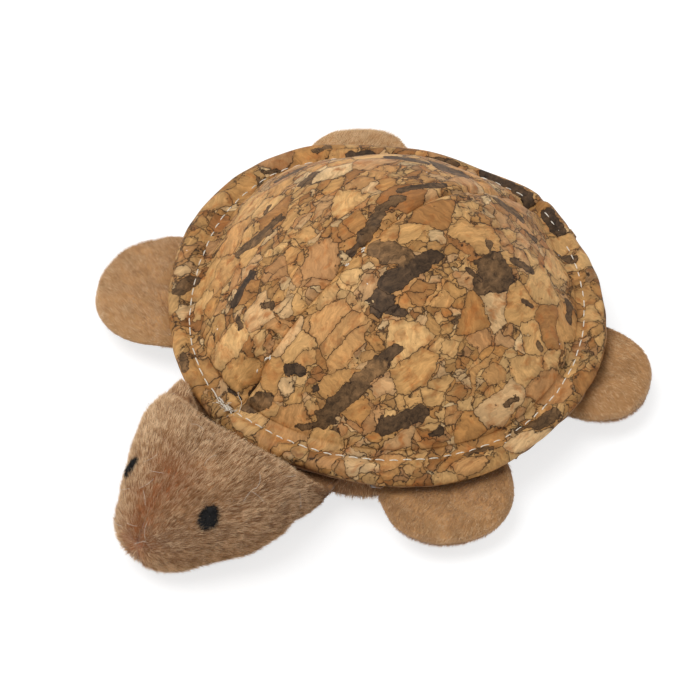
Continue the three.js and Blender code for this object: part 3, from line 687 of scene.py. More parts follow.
    # each grain lies at a height of its own, the growth bands are raised and the cracks sunk
    height = addNode(tree, "ShaderNodeMath", {0: line, 1: -1.0, 2: numbers.outputs[1]}, operation="MULTIPLY_ADD")
    height = addNode(tree, "ShaderNodeMath", {0: streak, 1: 0.5, 2: height}, operation="MULTIPLY_ADD")
    bump = addNode(tree, "ShaderNodeBump", {"Height": height, "Distance": cork["bumpDepth"], "Strength": 0.8})
    skin = addNode(tree, "ShaderNodeBsdfPrincipled", {"Base Color": colour, "Normal": bump, "Roughness": 0.55,
                                                      "Specular IOR Level": 0.14})
    addNode(tree, "ShaderNodeOutputMaterial", {"Surface": skin})
    return material


addShellPanel("cork_left", 1, corkMaterial("corkFabricLeft", (0.0, 0.0, 0.0)))
addShellPanel("cork_right", -1, corkMaterial("corkFabricRight", (31.0, 17.0, 9.0)))
print("shell made")


# Plush: knitted polyester with a short brushed pile. The eye sees fine strands lying one way in small tufts,
# light at the tips and dark where the tufts part.
plush = {"tipLight": 0.55, "cloudLight": 0.35, "cloudsPerMetre": 180.0, "panel": 0.8, "collar": 0.7, "paw": 0.6}


def plushMaterial(name, ground, strands, stainAndHighlight):
    # ground cloth and strands share it: "along" is 0 at a strand's root and 1 at its tip, "tone" is the
    # strand's own shade, with painted light and shade added in places, and the tint attribute says how far a red
    # stain reaches on the head and a pale painted highlight on the paws' rims
    material, tree = newMaterial(name)
    along = addNode(tree, "ShaderNodeAttribute", attribute_name="along")
    tone = addNode(tree, "ShaderNodeAttribute", attribute_name="tone")
    stain = addNode(tree, "ShaderNodeAttribute", attribute_name="stainAndHighlight")
    where = addNode(tree, "ShaderNodeTexCoord").outputs["Object"]
    cloud = addNode(tree, "ShaderNodeTexNoise", {"Vector": where, "Scale": plush["cloudsPerMetre"], "Detail": 3.0})
    mixed = addNode(tree, "ShaderNodeMath",
                    {0: along.outputs["Fac"], 1: plush["tipLight"], 2: tone.outputs["Fac"]},
                    operation="MULTIPLY_ADD")
    mixed = addNode(tree, "ShaderNodeMath", {0: cloud, 1: plush["cloudLight"], 2: mixed}, operation="MULTIPLY_ADD")
    shade = addNode(tree, "ShaderNodeValToRGB", {"Fac": mixed})
    setRamp(shade, [(0.15, ground), (0.45, strands[0]), (0.75, strands[1]), (1.0, strands[2])])
    colour = addNode(tree, "ShaderNodeMix", {0: stain.outputs["Fac"], 6: shade, 7: linearColour(stainAndHighlight)},
                     data_type="RGBA")
    skin = addNode(tree, "ShaderNodeBsdfPrincipled",
                   {"Base Color": colour.outputs[2], "Roughness": 0.8, "Specular IOR Level": 0.2,
                    "Sheen Weight": 0.5, "Sheen Roughness": 0.35})
    addNode(tree, "ShaderNodeOutputMaterial", {"Surface": skin})
    return material


headPlush = plushMaterial("brushedPlushBrown", "5c3e2a", ("9c724c", "c59c72", "ebcba3"), "98592f")
# the tan plush's tint is a pale painted highlight, used on the paws' rims
pawPlush = plushMaterial("brushedPlushTan", "94704a", ("b88a5a", "cba070", "e2c196"), "ead8bf")


def growPile(name, grid, normal, lie, pile, seed, stainAndHighlight=None, shorten=None, paintedShade=None):
    # strands rooted evenly over a grid: each is a thin spike with three sides that leans from the skin's
    # normal towards the lie, its tip drawn towards the middle of its tuft. The tint function tells where the pile
    # is stained on the head and painted with a highlight on the paws' rims, shorten where it is short, and the
    # last function gives painted shade, by which the tone is lowered
    dice = np.random.default_rng(seed)
    most, rest = slice(None, -1), slice(1, None)
    corners = [(most, most), (rest, most), (rest, rest), (most, rest)]
    quad = np.stack([grid[c].reshape(-1, 3) for c in corners], 1)
    area = np.linalg.norm(np.cross(quad[:, 2] - quad[:, 0], quad[:, 3] - quad[:, 1]), axis=1) / 2
    reach = np.cumsum(area)
    count = int(reach[-1] * pile["perSquareMm"])
    chosen = np.searchsorted(reach, dice.random(count) * reach[-1])
    u, v = dice.random((2, count))[..., None]
    share = np.stack([(1 - u) * (1 - v), u * (1 - v), u * v, (1 - u) * v], 1)

    def spread(field):
        corner = np.stack([field[c].reshape(-1, field.shape[-1]) for c in corners], 1)[chosen]
        return (corner * share).sum(1)

    root, up, way = spread(grid), spread(normal), spread(lie)
    up /= np.linalg.norm(up, axis=1)[:, None]
    way -= up * (way * up).sum(1)[:, None]
    way /= np.maximum(np.linalg.norm(way, axis=1)[:, None], 1e-6)
    lean = np.radians(pile["lean"] + pile["leanSpread"] * dice.normal(size=(count, 1)))
    heading = way * np.sin(lean) + up * np.cos(lean) + pile["stray"] * dice.normal(size=(count, 3))
    heading /= np.linalg.norm(heading, axis=1)[:, None]
    length = pile["length"] * dice.uniform(0.7, 1.2, (count, 1))
    if shorten is not None:
        length = length * shorten(root)[:, None]
    tip = root + heading * length
    # tufts: the strands of one cell of a jittered lattice share a middle
    cell = np.floor(root / pile["tuft"] + 0.35 * ripple(root, 2.2 * pile["tuft"], seed + 1)[:, None])
    key = (cell.astype(np.int64) * [73856093, 19349663, 83492791]).sum(1) % 65536
    middle = np.random.default_rng(seed + 2).random((65536, 3))[key]
    middle = (cell + 0.25 + 0.5 * middle) * pile["tuft"] + heading * length
    drawn = (middle - tip) * pile["clump"]
    drawn -= up * np.minimum(0, (drawn * up).sum(1) + 0.2 * length[:, 0])[:, None]
    tip = tip + drawn
    tip[:, 2] = np.maximum(tip[:, 2], 0.03)
    heading = tip - root
    heading /= np.linalg.norm(heading, axis=1)[:, None]
    side = np.cross(heading, up)
    side /= np.maximum(np.linalg.norm(side, axis=1)[:, None], 1e-6)
    over = np.cross(heading, side)
    thick = pile["width"] / 2 * dice.uniform(0.7, 1.25, (count, 1))
    sunk = root - up * pile["sink"]
    thirds = (0, 2.0944, 4.1888)
    ring = [sunk + thick * (side * math.cos(turn) + over * math.sin(turn)) for turn in thirds]
    points = np.stack(ring + [tip], 1).reshape(-1, 3)
    points[:, 2] = np.maximum(points[:, 2], 0.02)
    faces = 4 * np.arange(count)[:, None, None] + np.array([[0, 2, 1], [0, 1, 3], [1, 2, 3], [2, 0, 3]])
    shared = np.random.default_rng(seed + 4).normal(size=65536)[key]
    tone = pile["tone"] + 0.2 * shared + 0.2 * dice.normal(size=count) + 0.07 * ripple(root, 5, seed + 3)
    # painted shade lowers the strands' tone where it is given
    tone = np.clip(tone if paintedShade is None else tone - paintedShade(root), 0, 1)
    # the tint is a real stain on the head and a painted highlight on the paws' rims
    stain = np.zeros(count) if stainAndHighlight is None else stainAndHighlight(root) * dice.uniform(0.35, 1, count)
    attributes = {"along": np.tile([0.0, 0.0, 0.0, 1.0], count), "tone": np.repeat(tone, 4),
                  "stainAndHighlight": np.repeat(stain, 4)}
    return meshObject(name, points, faces.reshape(-1, 3), attributes, smooth=False)


def skinAttributes(grid, stainAndHighlight=None):
    flat = grid.reshape(-1, 3)
    stain = np.zeros(len(flat)) if stainAndHighlight is None else stainAndHighlight(flat)
    return {"along": np.full(len(flat), 0.0), "tone": 0.18 + 0.08 * ripple(flat, 4, 9), "stainAndHighlight": stain}


# Belly: plush with a flat underside, turned up into a wall that is sewn in under the brim
belly = {
    # each row: inset from the brim's edge, height
    "wall": [(30, 0.25), (17.5, 0.25), (14.0, 0.45), (10.9, 1.1), (8.6, 2.6), (6.9, 4.6), (6.0, 6.6),
             (5.7, 8.4), (5.4, 10.0), (4.6, 10.9), (3.0, 10.95), (1.6, 10.9), (0.9, 11.2), (1.2, 11.6),
             (3.0, 11.9), (6.0, 12.1)],
    "rows": 70, "columns": 300, "bulge": 4.3, "bulgeAngle": -53.0, "bulgeWidth": 16.0, "outside": 0.72,
    "air": {"step": 4, "stiffness": 15, "bending": 0.3, "pressure": 4.0, "slack": 0.03, "cap": 0.4},
    "pile": {"perSquareMm": 5.4, "length": 1.5, "width": 0.12, "lean": 66, "leanSpread": 8, "stray": 0.16,
             "tuft": 1.5, "clump": 0.3, "sink": 0.1, "tone": 0.34},
}


def addBelly(settings):
    # the brim's outline drawn in by the wall's inset at each height, with a bulge on one side
    angle = np.linspace(-math.pi, math.pi, settings["columns"], endpoint=False)
    inset, height = splineThrough(settings["wall"], settings["rows"]).T
    outline = outlineRadius(angle, shell["brim"])
    bulge = settings["bulge"] * np.exp(-((angle - math.radians(settings["bulgeAngle"]))
                                         / math.radians(settings["bulgeWidth"])) ** 2)
    rise = smoothStep(0.2, 2.0, height) * smoothStep(9.5, 5.5, height)
    radius = outline[None] - inset[:, None] + bulge[None] * rise[:, None]
    grid = np.stack([radius * np.cos(angle), radius * np.sin(angle),
                     np.broadcast_to(height[:, None], radius.shape)], -1)
    centre = np.zeros((1, len(angle), 3))
    centre[..., 2] = height[0]
    grid = np.concatenate([centre, grid])
    normal = gridNormals(grid, True)
    if (normal[len(grid) // 2] * grid[len(grid) // 2]).sum(1).mean() < 0:
        normal = -normal
    normal[0] = (0, 0, -1)
    uneven = 0.25 * ripple(grid.reshape(-1, 3), 9, 21).reshape(grid.shape[:2]) * smoothStep(0.4, 2, grid[..., 2])
    held = (grid[..., 2] < 0.5) | (grid[..., 2] > 9)
    grid = grid + swellRing(grid, normal, held, settings["air"]) + normal * uneven[..., None]
    piece = meshObject("belly", grid.reshape(-1, 3), facesAlong(grid, normal, True), skinAttributes(grid))
    closeDoubles(piece)
    thicken(piece, plush["panel"])
    finishPiece(piece, headPlush, "root", ["belly_panel"])
    closed, normals = closeRing(grid), closeRing(normal)
    lie = -np.gradient(closed, axis=0)
    outside = slice(0, int(len(grid) * settings["outside"]))
    strands = growPile("belly_pile", closed[outside], normals[outside], lie[outside], settings["pile"], 22)
    finishPiece(strands, headPlush, "root")


addBelly(belly)
print("belly made")


# Head: two panels joined along the middle from the neck over the nose
head = {
    # each row: way ahead of the neck, half width on the turtle's left and right, top, bottom, squareness
    "sections": [(-0.8, 18.2, 20.0, 11.8, 1.3, 2.6), (2.4, 18.8, 21.2, 16.0, 1.0, 2.8),
                 (4.7, 19.1, 21.5, 19.0, 0.8, 2.9), (8.0, 19.3, 21.2, 22.3, 0.8, 2.9),
                 (12.0, 19.5, 20.1, 25.2, 0.8, 2.8), (16.6, 19.9, 18.7, 26.3, 0.8, 2.6),
                 (22.0, 18.1, 16.2, 25.6, 0.8, 2.6), (27.7, 14.6, 12.9, 23.6, 1.1, 2.5),
                 (32.4, 11.3, 10.6, 21.2, 1.6, 2.4), (35.9, 8.5, 8.5, 18.2, 2.9, 2.3),
                 (38.2, 5.6, 6.0, 15.0, 5.0, 2.2), (39.2, 2.9, 3.2, 12.6, 7.6, 2.1),
                 (39.5, 0.0, 0.0, 10.2, 10.2, 2.0)],
    # the rings that close it at the neck: way ahead, share of the first ring
    "rear": [(-1.2, 0.0), (-1.2, 0.4), (-1.15, 0.8), (-1.05, 0.95)],
    "rows": 96, "columns": 192, "brimRoom": 0.6, "neckTop": 8.8, "rise": 1.15, "riseGrowth": 0.13,
    "air": {"step": 6, "stiffness": 15, "bending": 0.3, "pressure": 4.0, "slack": 0.03, "cap": 0.5},
    "pile": {"perSquareMm": 22.8, "length": 1.6, "width": 0.1, "lean": 72, "leanSpread": 8, "stray": 0.14,
             "tuft": 0.8, "clump": 0.38, "sink": 0.1, "tone": 0.34},
}
neckPlace = np.array([8.764, -45.088, 5.2])
headTurn = math.radians(6.7)
headAhead = np.array([math.sin(headTurn), -math.cos(headTurn), 0.0])
headAside = np.array([math.cos(headTurn), math.sin(headTurn), 0.0])


def brimDistance(points):
    # how far a point lies outside the brim's edge
    angle = np.arctan2(points[..., 1], points[..., 0])
    return np.hypot(points[..., 0], points[..., 1]) - outlineRadius(angle, shell["brim"])


def keptBelow(height, limit):
    # heights bent over by a hyperbolic tangent from 2 mm under a limit, so that they never pass it
    return np.where(height > limit - 2, limit - 2 + 2 * np.tanh((height - limit + 2) / 2), height)


def headGrid(inset=0.0):
    # rings from the neck to the nose: ovals between a circle and a box, wider on one side than on the other;
    # under and close in front of the brim the top is pressed down
    section = splineThrough(head["sections"], head["rows"])
    along = section[:, 0] * (1 - inset / 39)
    turn = np.linspace(0, 2 * math.pi, head["columns"] + 1)
    s, c = np.sin(turn), np.cos(turn)
    power = 2 / section[:, 5:6]
    half = np.where(s > 0, section[:, 1:2], section[:, 2:3])
    half = np.maximum(half - inset, 0.0)
    top, bottom = section[:, 3:4] - inset, section[:, 4:5] + inset
    aside = half * np.sign(s) * np.abs(s) ** power
    up = (top + bottom) / 2 + np.maximum(top - bottom, 0.0) / 2 * np.sign(c) * np.abs(c) ** power
    ring = np.stack([aside, np.broadcast_to(along[:, None], aside.shape), up], -1)
    middle = ring[0].mean(0)
    rear = [middle + (ring[0] - middle) * share for _, share in head["rear"]]
    for row, (way, _) in zip(rear, head["rear"]):
        row[:, 1] = way + inset
    ring = np.concatenate([np.array(rear), ring])
    grid = (neckPlace * [1, 1, 0] + ring[..., :1] * headAside + ring[..., 1:2] * headAhead
            + ring[..., 2:] * [0, 0, 1])
    clear = np.maximum(0, brimDistance(grid) - head["brimRoom"])
    limit = head["neckTop"] + head["rise"] * clear + head["riseGrowth"] * clear ** 2 - inset
    grid[..., 2] = keptBelow(grid[..., 2], limit)
    return grid


def noseStain(points):
    # the redder nap from the nose up between the eyes
    ahead = (points - neckPlace) @ headAhead
    aside = (points - neckPlace) @ headAside + 0.9 * ripple(points, 5, 33)
    band = np.exp(-((aside + 0.5) / (3.8 + 0.2 * np.maximum(0, 38 - ahead))) ** 2)
    blotched = np.clip(0.85 + 0.3 * ripple(points, 2.6, 34), 0, 1)
    return 0.95 * band * blotched * smoothStep(19, 29, ahead) * smoothStep(5, 10, points[:, 2])


def brimPress(points):
    # strands get short where the brim presses on them
    return np.clip((brimDistance(points) - 0.2) / 2.2, 0.3, 1)


def paintedBrimShadow(points):
    # painted shade: the nap is darker near the brim's edge, standing in for the brim's shadow, less so on the
    # turtle's far right
    aside = (points - neckPlace) @ headAside
    return 0.5 * (1 - smoothStep(0.5, 7, brimDistance(points))) * smoothStep(-18, -8, aside)


def addHead(settings):
    # the skin is made whole, then cut along the middle into the two panels
    grid = headGrid()
    normal = gridNormals(grid, False)
    centre = grid.mean((0, 1))
    if ((grid[60] - centre) * normal[60]).sum(1).mean() < 0:
        normal = -normal
    half = settings["columns"] // 2
    held = brimDistance(grid) < 3
    held[-6:] = held[:, [0, half, -1]] = True
    uneven = 0.22 * ripple(grid.reshape(-1, 3), 10, 31).reshape(grid.shape[:2])
    grid = grid + swellGrid(grid, normal, held, settings["air"]) + normal * uneven[..., None]
    lie = -np.gradient(grid, axis=0)
    for name, columns, seed in (("head_left", slice(0, half + 1), 41), ("head_right", slice(half, None), 42)):
        part = grid[:, columns]
        piece = meshObject(name, part.reshape(-1, 3), facesAlong(part, normal[:, columns], False),
                           skinAttributes(part, noseStain))
        closeDoubles(piece)
        thicken(piece, plush["panel"])
        finishPiece(piece, headPlush, "head", [name.replace("head", "head_panel")])
        visible = slice(3, -1)
        # the head's pile gets painted shade near the brim's edge, standing in for the brim's shadow
        strands = growPile(name + "_pile", part[visible], normal[visible, columns], lie[visible, columns],
                           settings["pile"], seed, noseStain, brimPress, paintedBrimShadow)
        finishPiece(strands, headPlush, "head")
    return grid, normal


headSkin, headNormal = addHead(head)
print("head made")


# Neck: a collar of the same plush from the body's wall to the head, in two pieces that meet straight across the
# neck. It puffs up in front of the brim on the turtle's right, and ends just under the skin of the head.
neck = {
    "halfLeft": 19.1, "halfRight": 22.4, "top": 20.3, "bottom": 1.0, "squareLeft": 3.7, "squareRight": 3.2,
    "wallInset": 5.7, "intoWall": 1.2, "split": 4.3, "reach": 9.0, "closeFrom": 0.7, "sunk": 0.5,
    "brimRoom": 0.3, "underBrim": 8.3, "rise": 1.1, "riseGrowth": 0.12,
    "puffUnderBrim": 11.8, "puffRise": 5.0, "puffFrom": 11.0, "puffTo": 19.0,
    "rows": 41, "pileRows": 12, "rollRadius": 1.7, "rollHalfWidth": 10.6,
    "pile": head["pile"] | {"length": 1.2},
}


def addNeck(settings):
    # rings between a circle and a box; each point's way from the wall to the head is its share of the row.
    # The top is kept below a slope that rises from the brim, and the last rows close on the head's skin
    turn = np.linspace(0, 2 * math.pi, head["columns"] + 1)
    s, c = np.sin(turn), np.cos(turn)
    power = 2 / np.where(s > 0, settings["squareLeft"], settings["squareRight"])
    aside = np.where(s > 0, settings["halfLeft"], settings["halfRight"]) * np.sign(s) * np.abs(s) ** power
    middle, half = (settings["top"] + settings["bottom"]) / 2, (settings["top"] - settings["bottom"]) / 2
    up = middle + half * np.sign(c) * np.abs(c) ** power
    flat = neckPlace * [1, 1, 0]
    way = np.zeros(len(turn))
    for _ in range(12):
        point = flat + aside[:, None] * headAside + way[:, None] * headAhead
        wall = bodyRadius(np.arctan2(point[:, 1], point[:, 0]), settings["wallInset"] + settings["intoWall"])
        way -= np.hypot(point[:, 0], point[:, 1]) - wall
    # the first half of the rows ends where the rear piece meets the front one, straight across the neck
    share = np.linspace(0, 1, settings["rows"])[:, None]
    ahead = np.where(share < 0.5, way + (settings["split"] - way) * 2 * share,
                     settings["split"] + (settings["reach"] - settings["split"]) * (2 * share - 1))
    grid = flat + aside[:, None] * headAside + ahead[..., None] * headAhead
    grid[..., 2] = up
    clear = np.maximum(0, brimDistance(grid) - settings["brimRoom"])
    puff = smoothStep(settings["puffFrom"], settings["puffTo"], -aside)
    plainLimit = settings["underBrim"] + settings["rise"] * clear + settings["riseGrowth"] * clear ** 2
    limit = plainLimit + (settings["puffUnderBrim"] + settings["puffRise"] * clear - plainLimit) * puff
    grid[..., 2] = keptBelow(up, limit)
    row = np.argmin(np.abs((headSkin[:, 0] - neckPlace) @ headAhead - settings["reach"]))
    close = smoothStep(settings["closeFrom"], 1.0, share)[..., None]
    grid = grid + (headSkin[row] - settings["sunk"] * headNormal[row] - grid) * close
    normal = gridNormals(grid, False)
    normal[:, [0, -1]] = (normal[:, :1] + normal[:, -1:]) / 2
    outward = grid - grid.mean(1, keepdims=True)
    if (outward * normal).sum(-1).mean() < 0:
        normal = -normal
    grid = grid + normal * 0.2 * ripple(grid.reshape(-1, 3), 5, 71).reshape(grid.shape[:2])[..., None]
    lie = -np.gradient(grid, axis=0)
    meet = settings["rows"] // 2
    # the rear piece runs from the body's wall to the neck, the front one from the neck to the head
    for name, rows, pileRows, bodies, blendFrom, blendTo in (
            ("neck_plush_rear", slice(0, meet + 1), slice(0, meet + 1), ("root", "neck"), 0.0, settings["split"]),
            ("neck_plush_front", slice(meet, None), slice(meet, meet + settings["pileRows"]), ("neck", "head"),
             settings["split"], settings["reach"] - 1)):
        part = grid[rows]
        piece = meshObject(name, part.reshape(-1, 3), facesAlong(part, normal[rows], False), skinAttributes(part))
        closeDoubles(piece)
        thicken(piece, plush["collar"])
        # the collar's pile gets the same painted shade near the brim
        strands = growPile(name + "_pile", grid[pileRows], normal[pileRows], lie[pileRows], settings["pile"], 72,
                           shorten=brimPress, paintedShade=paintedBrimShadow)
        for soft in (piece, strands):
            soft.data.materials.append(headPlush)
            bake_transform(soft)


# Paws: flat pads of shorter plush, an upper and a lower face sewn at the rim, hinged at the body's wall
paws = {
    "wallInset": 5.3, "hingeHeight": 8.2, "halfThickness": 2.5, "droop": 7.0, "ovalShare": 0.86,
    "middleShare": 0.52, "plump": 3.0, "squareness": 2.25, "rings": 30, "steps": 150, "pileRoom": 0.4,
    # rimLight is the strength of the pale painted highlight on the paws' rims
    "rootEase": 4.0, "combed": -38.0, "rimLight": 0.45, "rimShort": 0.6,
    "air": {"step": 3, "stiffness": 15, "bending": 0.3, "pressure": 4.0, "slack": 0.03, "cap": 0.35},
    # name, direction in degrees, length, half width
    "places": [("front_left", -26.72, 17.4, 15.0), ("front_right", -143.6, 22.2, 16.8),
               ("rear_left", 30.49, 16.8, 13.7), ("rear_right", 144.91, 15.5, 13.0)],
    # each paw's tone is set lighter or darker by how the light falls on it: painted light and shade
    "paintedLightTones": {"front_left": 0.22, "front_right": 0.37, "rear_left": 0.18, "rear_right": 0.62},
    "pile": {"perSquareMm": 20.0, "length": 1.25, "width": 0.09, "lean": 74, "leanSpread": 6, "stray": 0.1,
             "tuft": 0.7, "clump": 0.15, "sink": 0.08},
}


def bodyRadius(angle, inset):
    # the plain outline of the body, without the brim's waves
    plain = dict(shell["brim"], waves=[], offset=0.0, halfX=shell["brim"]["halfX"] - inset,
                 halfY=shell["brim"]["halfY"] - inset)
    return outlineRadius(angle, plain)


def pawGrid(direction, length, halfWidth, inset, side):
    # a squarish oval whose points inside the body are eased out to its wall, swelling from rim to middle by
    # the root of (1 - share cubed), drooping from the hinge
    turn = math.radians(direction)
    along = length * paws["ovalShare"]
    heading = np.linspace(0, 2 * math.pi, paws["steps"], endpoint=False)
    c, s = [np.sign(wave) * np.abs(wave) ** (2 / paws["squareness"])
            for wave in (np.cos(heading), np.sin(heading))]
    root = bodyRadius(turn, paws["wallInset"])
    x = root + length - along + (along - inset) * c
    y = (halfWidth - inset) * s
    angle, radius = np.arctan2(y, x) + turn, np.hypot(x, y)
    wall = bodyRadius(angle, paws["wallInset"]) + inset
    radius = (radius + wall + np.hypot(radius - wall, paws["rootEase"])) / 2
    x, y = radius * np.cos(angle - turn) - root, radius * np.sin(angle - turn)
    middle = length * paws["middleShare"]
    share = np.sin(np.linspace(0, math.pi / 2, paws["rings"]))[:, None]
    thickness = paws["halfThickness"] - inset
    local = np.stack([middle + (x - middle) * share, y * share,
                      side * thickness * np.sqrt(np.maximum(0, 1 - share ** paws["plump"])) * np.ones_like(x)], -1)
    droop = math.radians(paws["droop"])
    local = np.stack([local[..., 0] * math.cos(droop) + local[..., 2] * math.sin(droop), local[..., 1],
                      local[..., 2] * math.cos(droop) - local[..., 0] * math.sin(droop)], -1)
    out = np.array([math.cos(turn), math.sin(turn), 0.0])
    across = np.array([-math.sin(turn), math.cos(turn), 0.0])
    place = out * root + [0, 0, paws["hingeHeight"]]
    return place + local[..., :1] * out + local[..., 1:2] * across + local[..., 2:] * [0, 0, 1]


def addPaw(number, name, direction, length, halfWidth):
    # an upper and a lower face, each with its pile combed one way
    def nearRim(points):
        # 1 at the rim, 0 from a few mm inside it
        turn = math.radians(direction)
        along = length * paws["ovalShare"]
        x = points @ [math.cos(turn), math.sin(turn), 0] - bodyRadius(turn, paws["wallInset"]) - (length - along)
        y = points @ [-math.sin(turn), math.cos(turn), 0]
        reach = np.abs(x / along) ** paws["squareness"] + np.abs(y / halfWidth) ** paws["squareness"]
        return smoothStep(0.78, 1.0, reach) * (x > 0)

    for side, face in ((1, "upper"), (-1, "lower")):
        grid = pawGrid(direction, length, halfWidth, paws["pileRoom"], side)
        normal = gridNormals(grid, True)
        if (normal[..., 2].mean() > 0) != (side > 0):
            normal = -normal
        normal[0] = normal[1].mean(0)
        uneven = 0.2 * ripple(grid.reshape(-1, 3), 7, 50 + number).reshape(grid.shape[:2])
        held = np.zeros(grid.shape[:2], bool)
        held[-6:] = True
        grid = grid + swellRing(grid, normal, held, paws["air"]) + [0, 0, 1] * uneven[..., None]
        grid[..., 2] += side * 0.04
        piece = meshObject(f"paw_{name}_{face}", grid.reshape(-1, 3), facesAlong(grid, normal, True),
                           skinAttributes(grid))
        closeDoubles(piece)
        thicken(piece, plush["paw"])
        finishPiece(piece, pawPlush, f"leg_{name}", [f"leg_{name}_{face}"])
        turn = math.radians(direction + paws["combed"])
        closed, pile = closeRing(grid), paws["pile"] | {"tone": paws["paintedLightTones"][name]}
        lie = np.broadcast_to([math.cos(turn), math.sin(turn), 0.0], closed.shape)
        # a pale tint at the rim of the upper face is a painted highlight, and the pile there is short
        strands = growPile(f"paw_{name}_{face}_pile", closed, closeRing(normal), lie, pile,
                           60 + 2 * number + (side > 0),
                           lambda points: paws["rimLight"] * nearRim(points) * (side > 0),
                           lambda points: 1 - paws["rimShort"] * nearRim(points))
        finishPiece(strands, pawPlush, f"leg_{name}")


for number, place in enumerate(paws["places"]):
    addPaw(number, *place)
print("paws made")
addNeck(neck)
print("neck made")


# Eyes: satin-stitched ovals of black embroidery thread whose cut ends stand up like felt. The eye sees a
# matt black oval with a fringed edge.
eyes = {
    "halfWidth": 1.75, "halfHeight": 2.6, "halfThickness": 0.7, "raised": 0.3,
    # shift from the node's middle in mm (aside, ahead), tilt in degrees, size
    "places": {"eye_left": (1.0, 0.5, -30.0, 1.0), "eye_right": (-2.5, -0.5, 25.0, 0.87)},
    "pile": {"perSquareMm": 55.0, "length": 1.0, "width": 0.12, "lean": 55, "leanSpread": 18, "stray": 0.4,
             "tuft": 0.7, "clump": 0.25, "sink": 0.1, "tone": 0.34},
}


def blackThreadMaterial():
    material, tree = newMaterial("embroideryThreadBlack")
    tone = addNode(tree, "ShaderNodeAttribute", attribute_name="tone")
    shade = addNode(tree, "ShaderNodeValToRGB", {"Fac": tone.outputs["Fac"]})
    setRamp(shade, [(0.1, "0c0b0b"), (0.6, "1b1918"), (1.0, "35302c")])
    skin = addNode(tree, "ShaderNodeBsdfPrincipled", {"Base Color": shade, "Roughness": 0.75,
                                                      "Specular IOR Level": 0.25})
    addNode(tree, "ShaderNodeOutputMaterial", {"Surface": skin})
    return material


blackThread = blackThreadMaterial()


def skinAt(target):
    # the point of the head's skin nearest to a target, and its normal
    flat, normal = headSkin.reshape(-1, 3), headNormal.reshape(-1, 3)
    nearest = np.argmin(((flat - target) ** 2).sum(1))
    return flat[nearest], normal[nearest]


def addEye(name, aside, ahead, tilt, size, seed):
    # an oval sunk in the pile, long along its own tilt, with its thread's cut ends standing out from it
    low, high = [np.array(corner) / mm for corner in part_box(name)]
    seat, facing = skinAt((low + high) / 2 + aside * headAside + ahead * headAhead)
    forward = headAhead - facing * (headAhead @ facing)
    forward /= np.linalg.norm(forward)
    across = np.cross(forward, facing)
    c, s = math.cos(math.radians(tilt)), math.sin(math.radians(tilt))
    long, wide = size * (forward * c + across * s), size * (across * c - forward * s)
    # a flattened ball: rings from pole to pole, with an uneven rim
    polar = np.linspace(0, math.pi, 22)[:, None]
    turn = np.linspace(0, 2 * math.pi, 41)[None]
    rim = 1 + 0.06 * np.sin(3 * turn + seed) + 0.04 * np.sin(5 * turn + 2 * seed)
    grid = (seat + facing * eyes["raised"]
            + (np.sin(polar) * np.cos(turn) * rim * eyes["halfWidth"])[..., None] * wide
            + (np.sin(polar) * np.sin(turn) * rim * eyes["halfHeight"])[..., None] * long
            + (np.cos(polar) * np.ones_like(turn) * eyes["halfThickness"])[..., None] * facing)
    outward = grid - grid.mean((0, 1))
    normal = outward / np.maximum(np.linalg.norm(outward, axis=-1, keepdims=True), 1e-6)
    rows, columns = len(polar), turn.size - 1
    piece = meshObject(name + "_oval", grid[:, :-1].reshape(-1, 3), gridFaces(rows, columns, True),
                       {"tone": np.full(rows * columns, 0.2)})
    closeDoubles(piece, outward=True)
    finishPiece(piece, blackThread, "head", [name])
    radial = grid - seat - facing * ((grid - seat) @ facing)[..., None]
    top = slice(1, 13)
    strands = growPile(name + "_fibres", grid[top], normal[top], radial[top] + 0.3 * long, eyes["pile"], seed)
    finishPiece(strands, blackThread, "head")


for seed, (name, place) in enumerate(eyes["places"].items(), 81):
    addEye(name, *place, seed)
print("eyes made")


# Threads: two-ply spun polyester, off-white. The eye sees short bright dashes, matt with a soft sheen.
threads = {
    "radius": 0.15, "stitchShare": 0.84, "lift": 0.17, "dip": 0.3, "rings": 8, "wobble": 0.09,
    "brimStitches": 97, "underBrim": 10.75, "seamStitches": 34, "seamDepth": 1.6, "seamAside": 0.95,
    "seamStart": 8.0, "seamEnd": 4.0,
}


def threadMaterial():
    material, tree = newMaterial("spunPolyesterThread")
    where = addNode(tree, "ShaderNodeTexCoord").outputs["Object"]
    ply = addNode(tree, "ShaderNodeTexNoise", {"Vector": where, "Scale": 2600.0, "Detail": 2.0})
    shade = addNode(tree, "ShaderNodeValToRGB", {"Fac": ply})
    setRamp(shade, [(0.3, "cabca4"), (0.7, "f0e8db")])
    bump = addNode(tree, "ShaderNodeBump", {"Height": ply, "Distance": 0.00005, "Strength": 0.6})
    skin = addNode(tree, "ShaderNodeBsdfPrincipled", {"Base Color": shade, "Normal": bump, "Roughness": 0.55,
                                                      "Sheen Weight": 0.3})
    addNode(tree, "ShaderNodeOutputMaterial", {"Surface": skin})
    return material


whiteThread = threadMaterial()


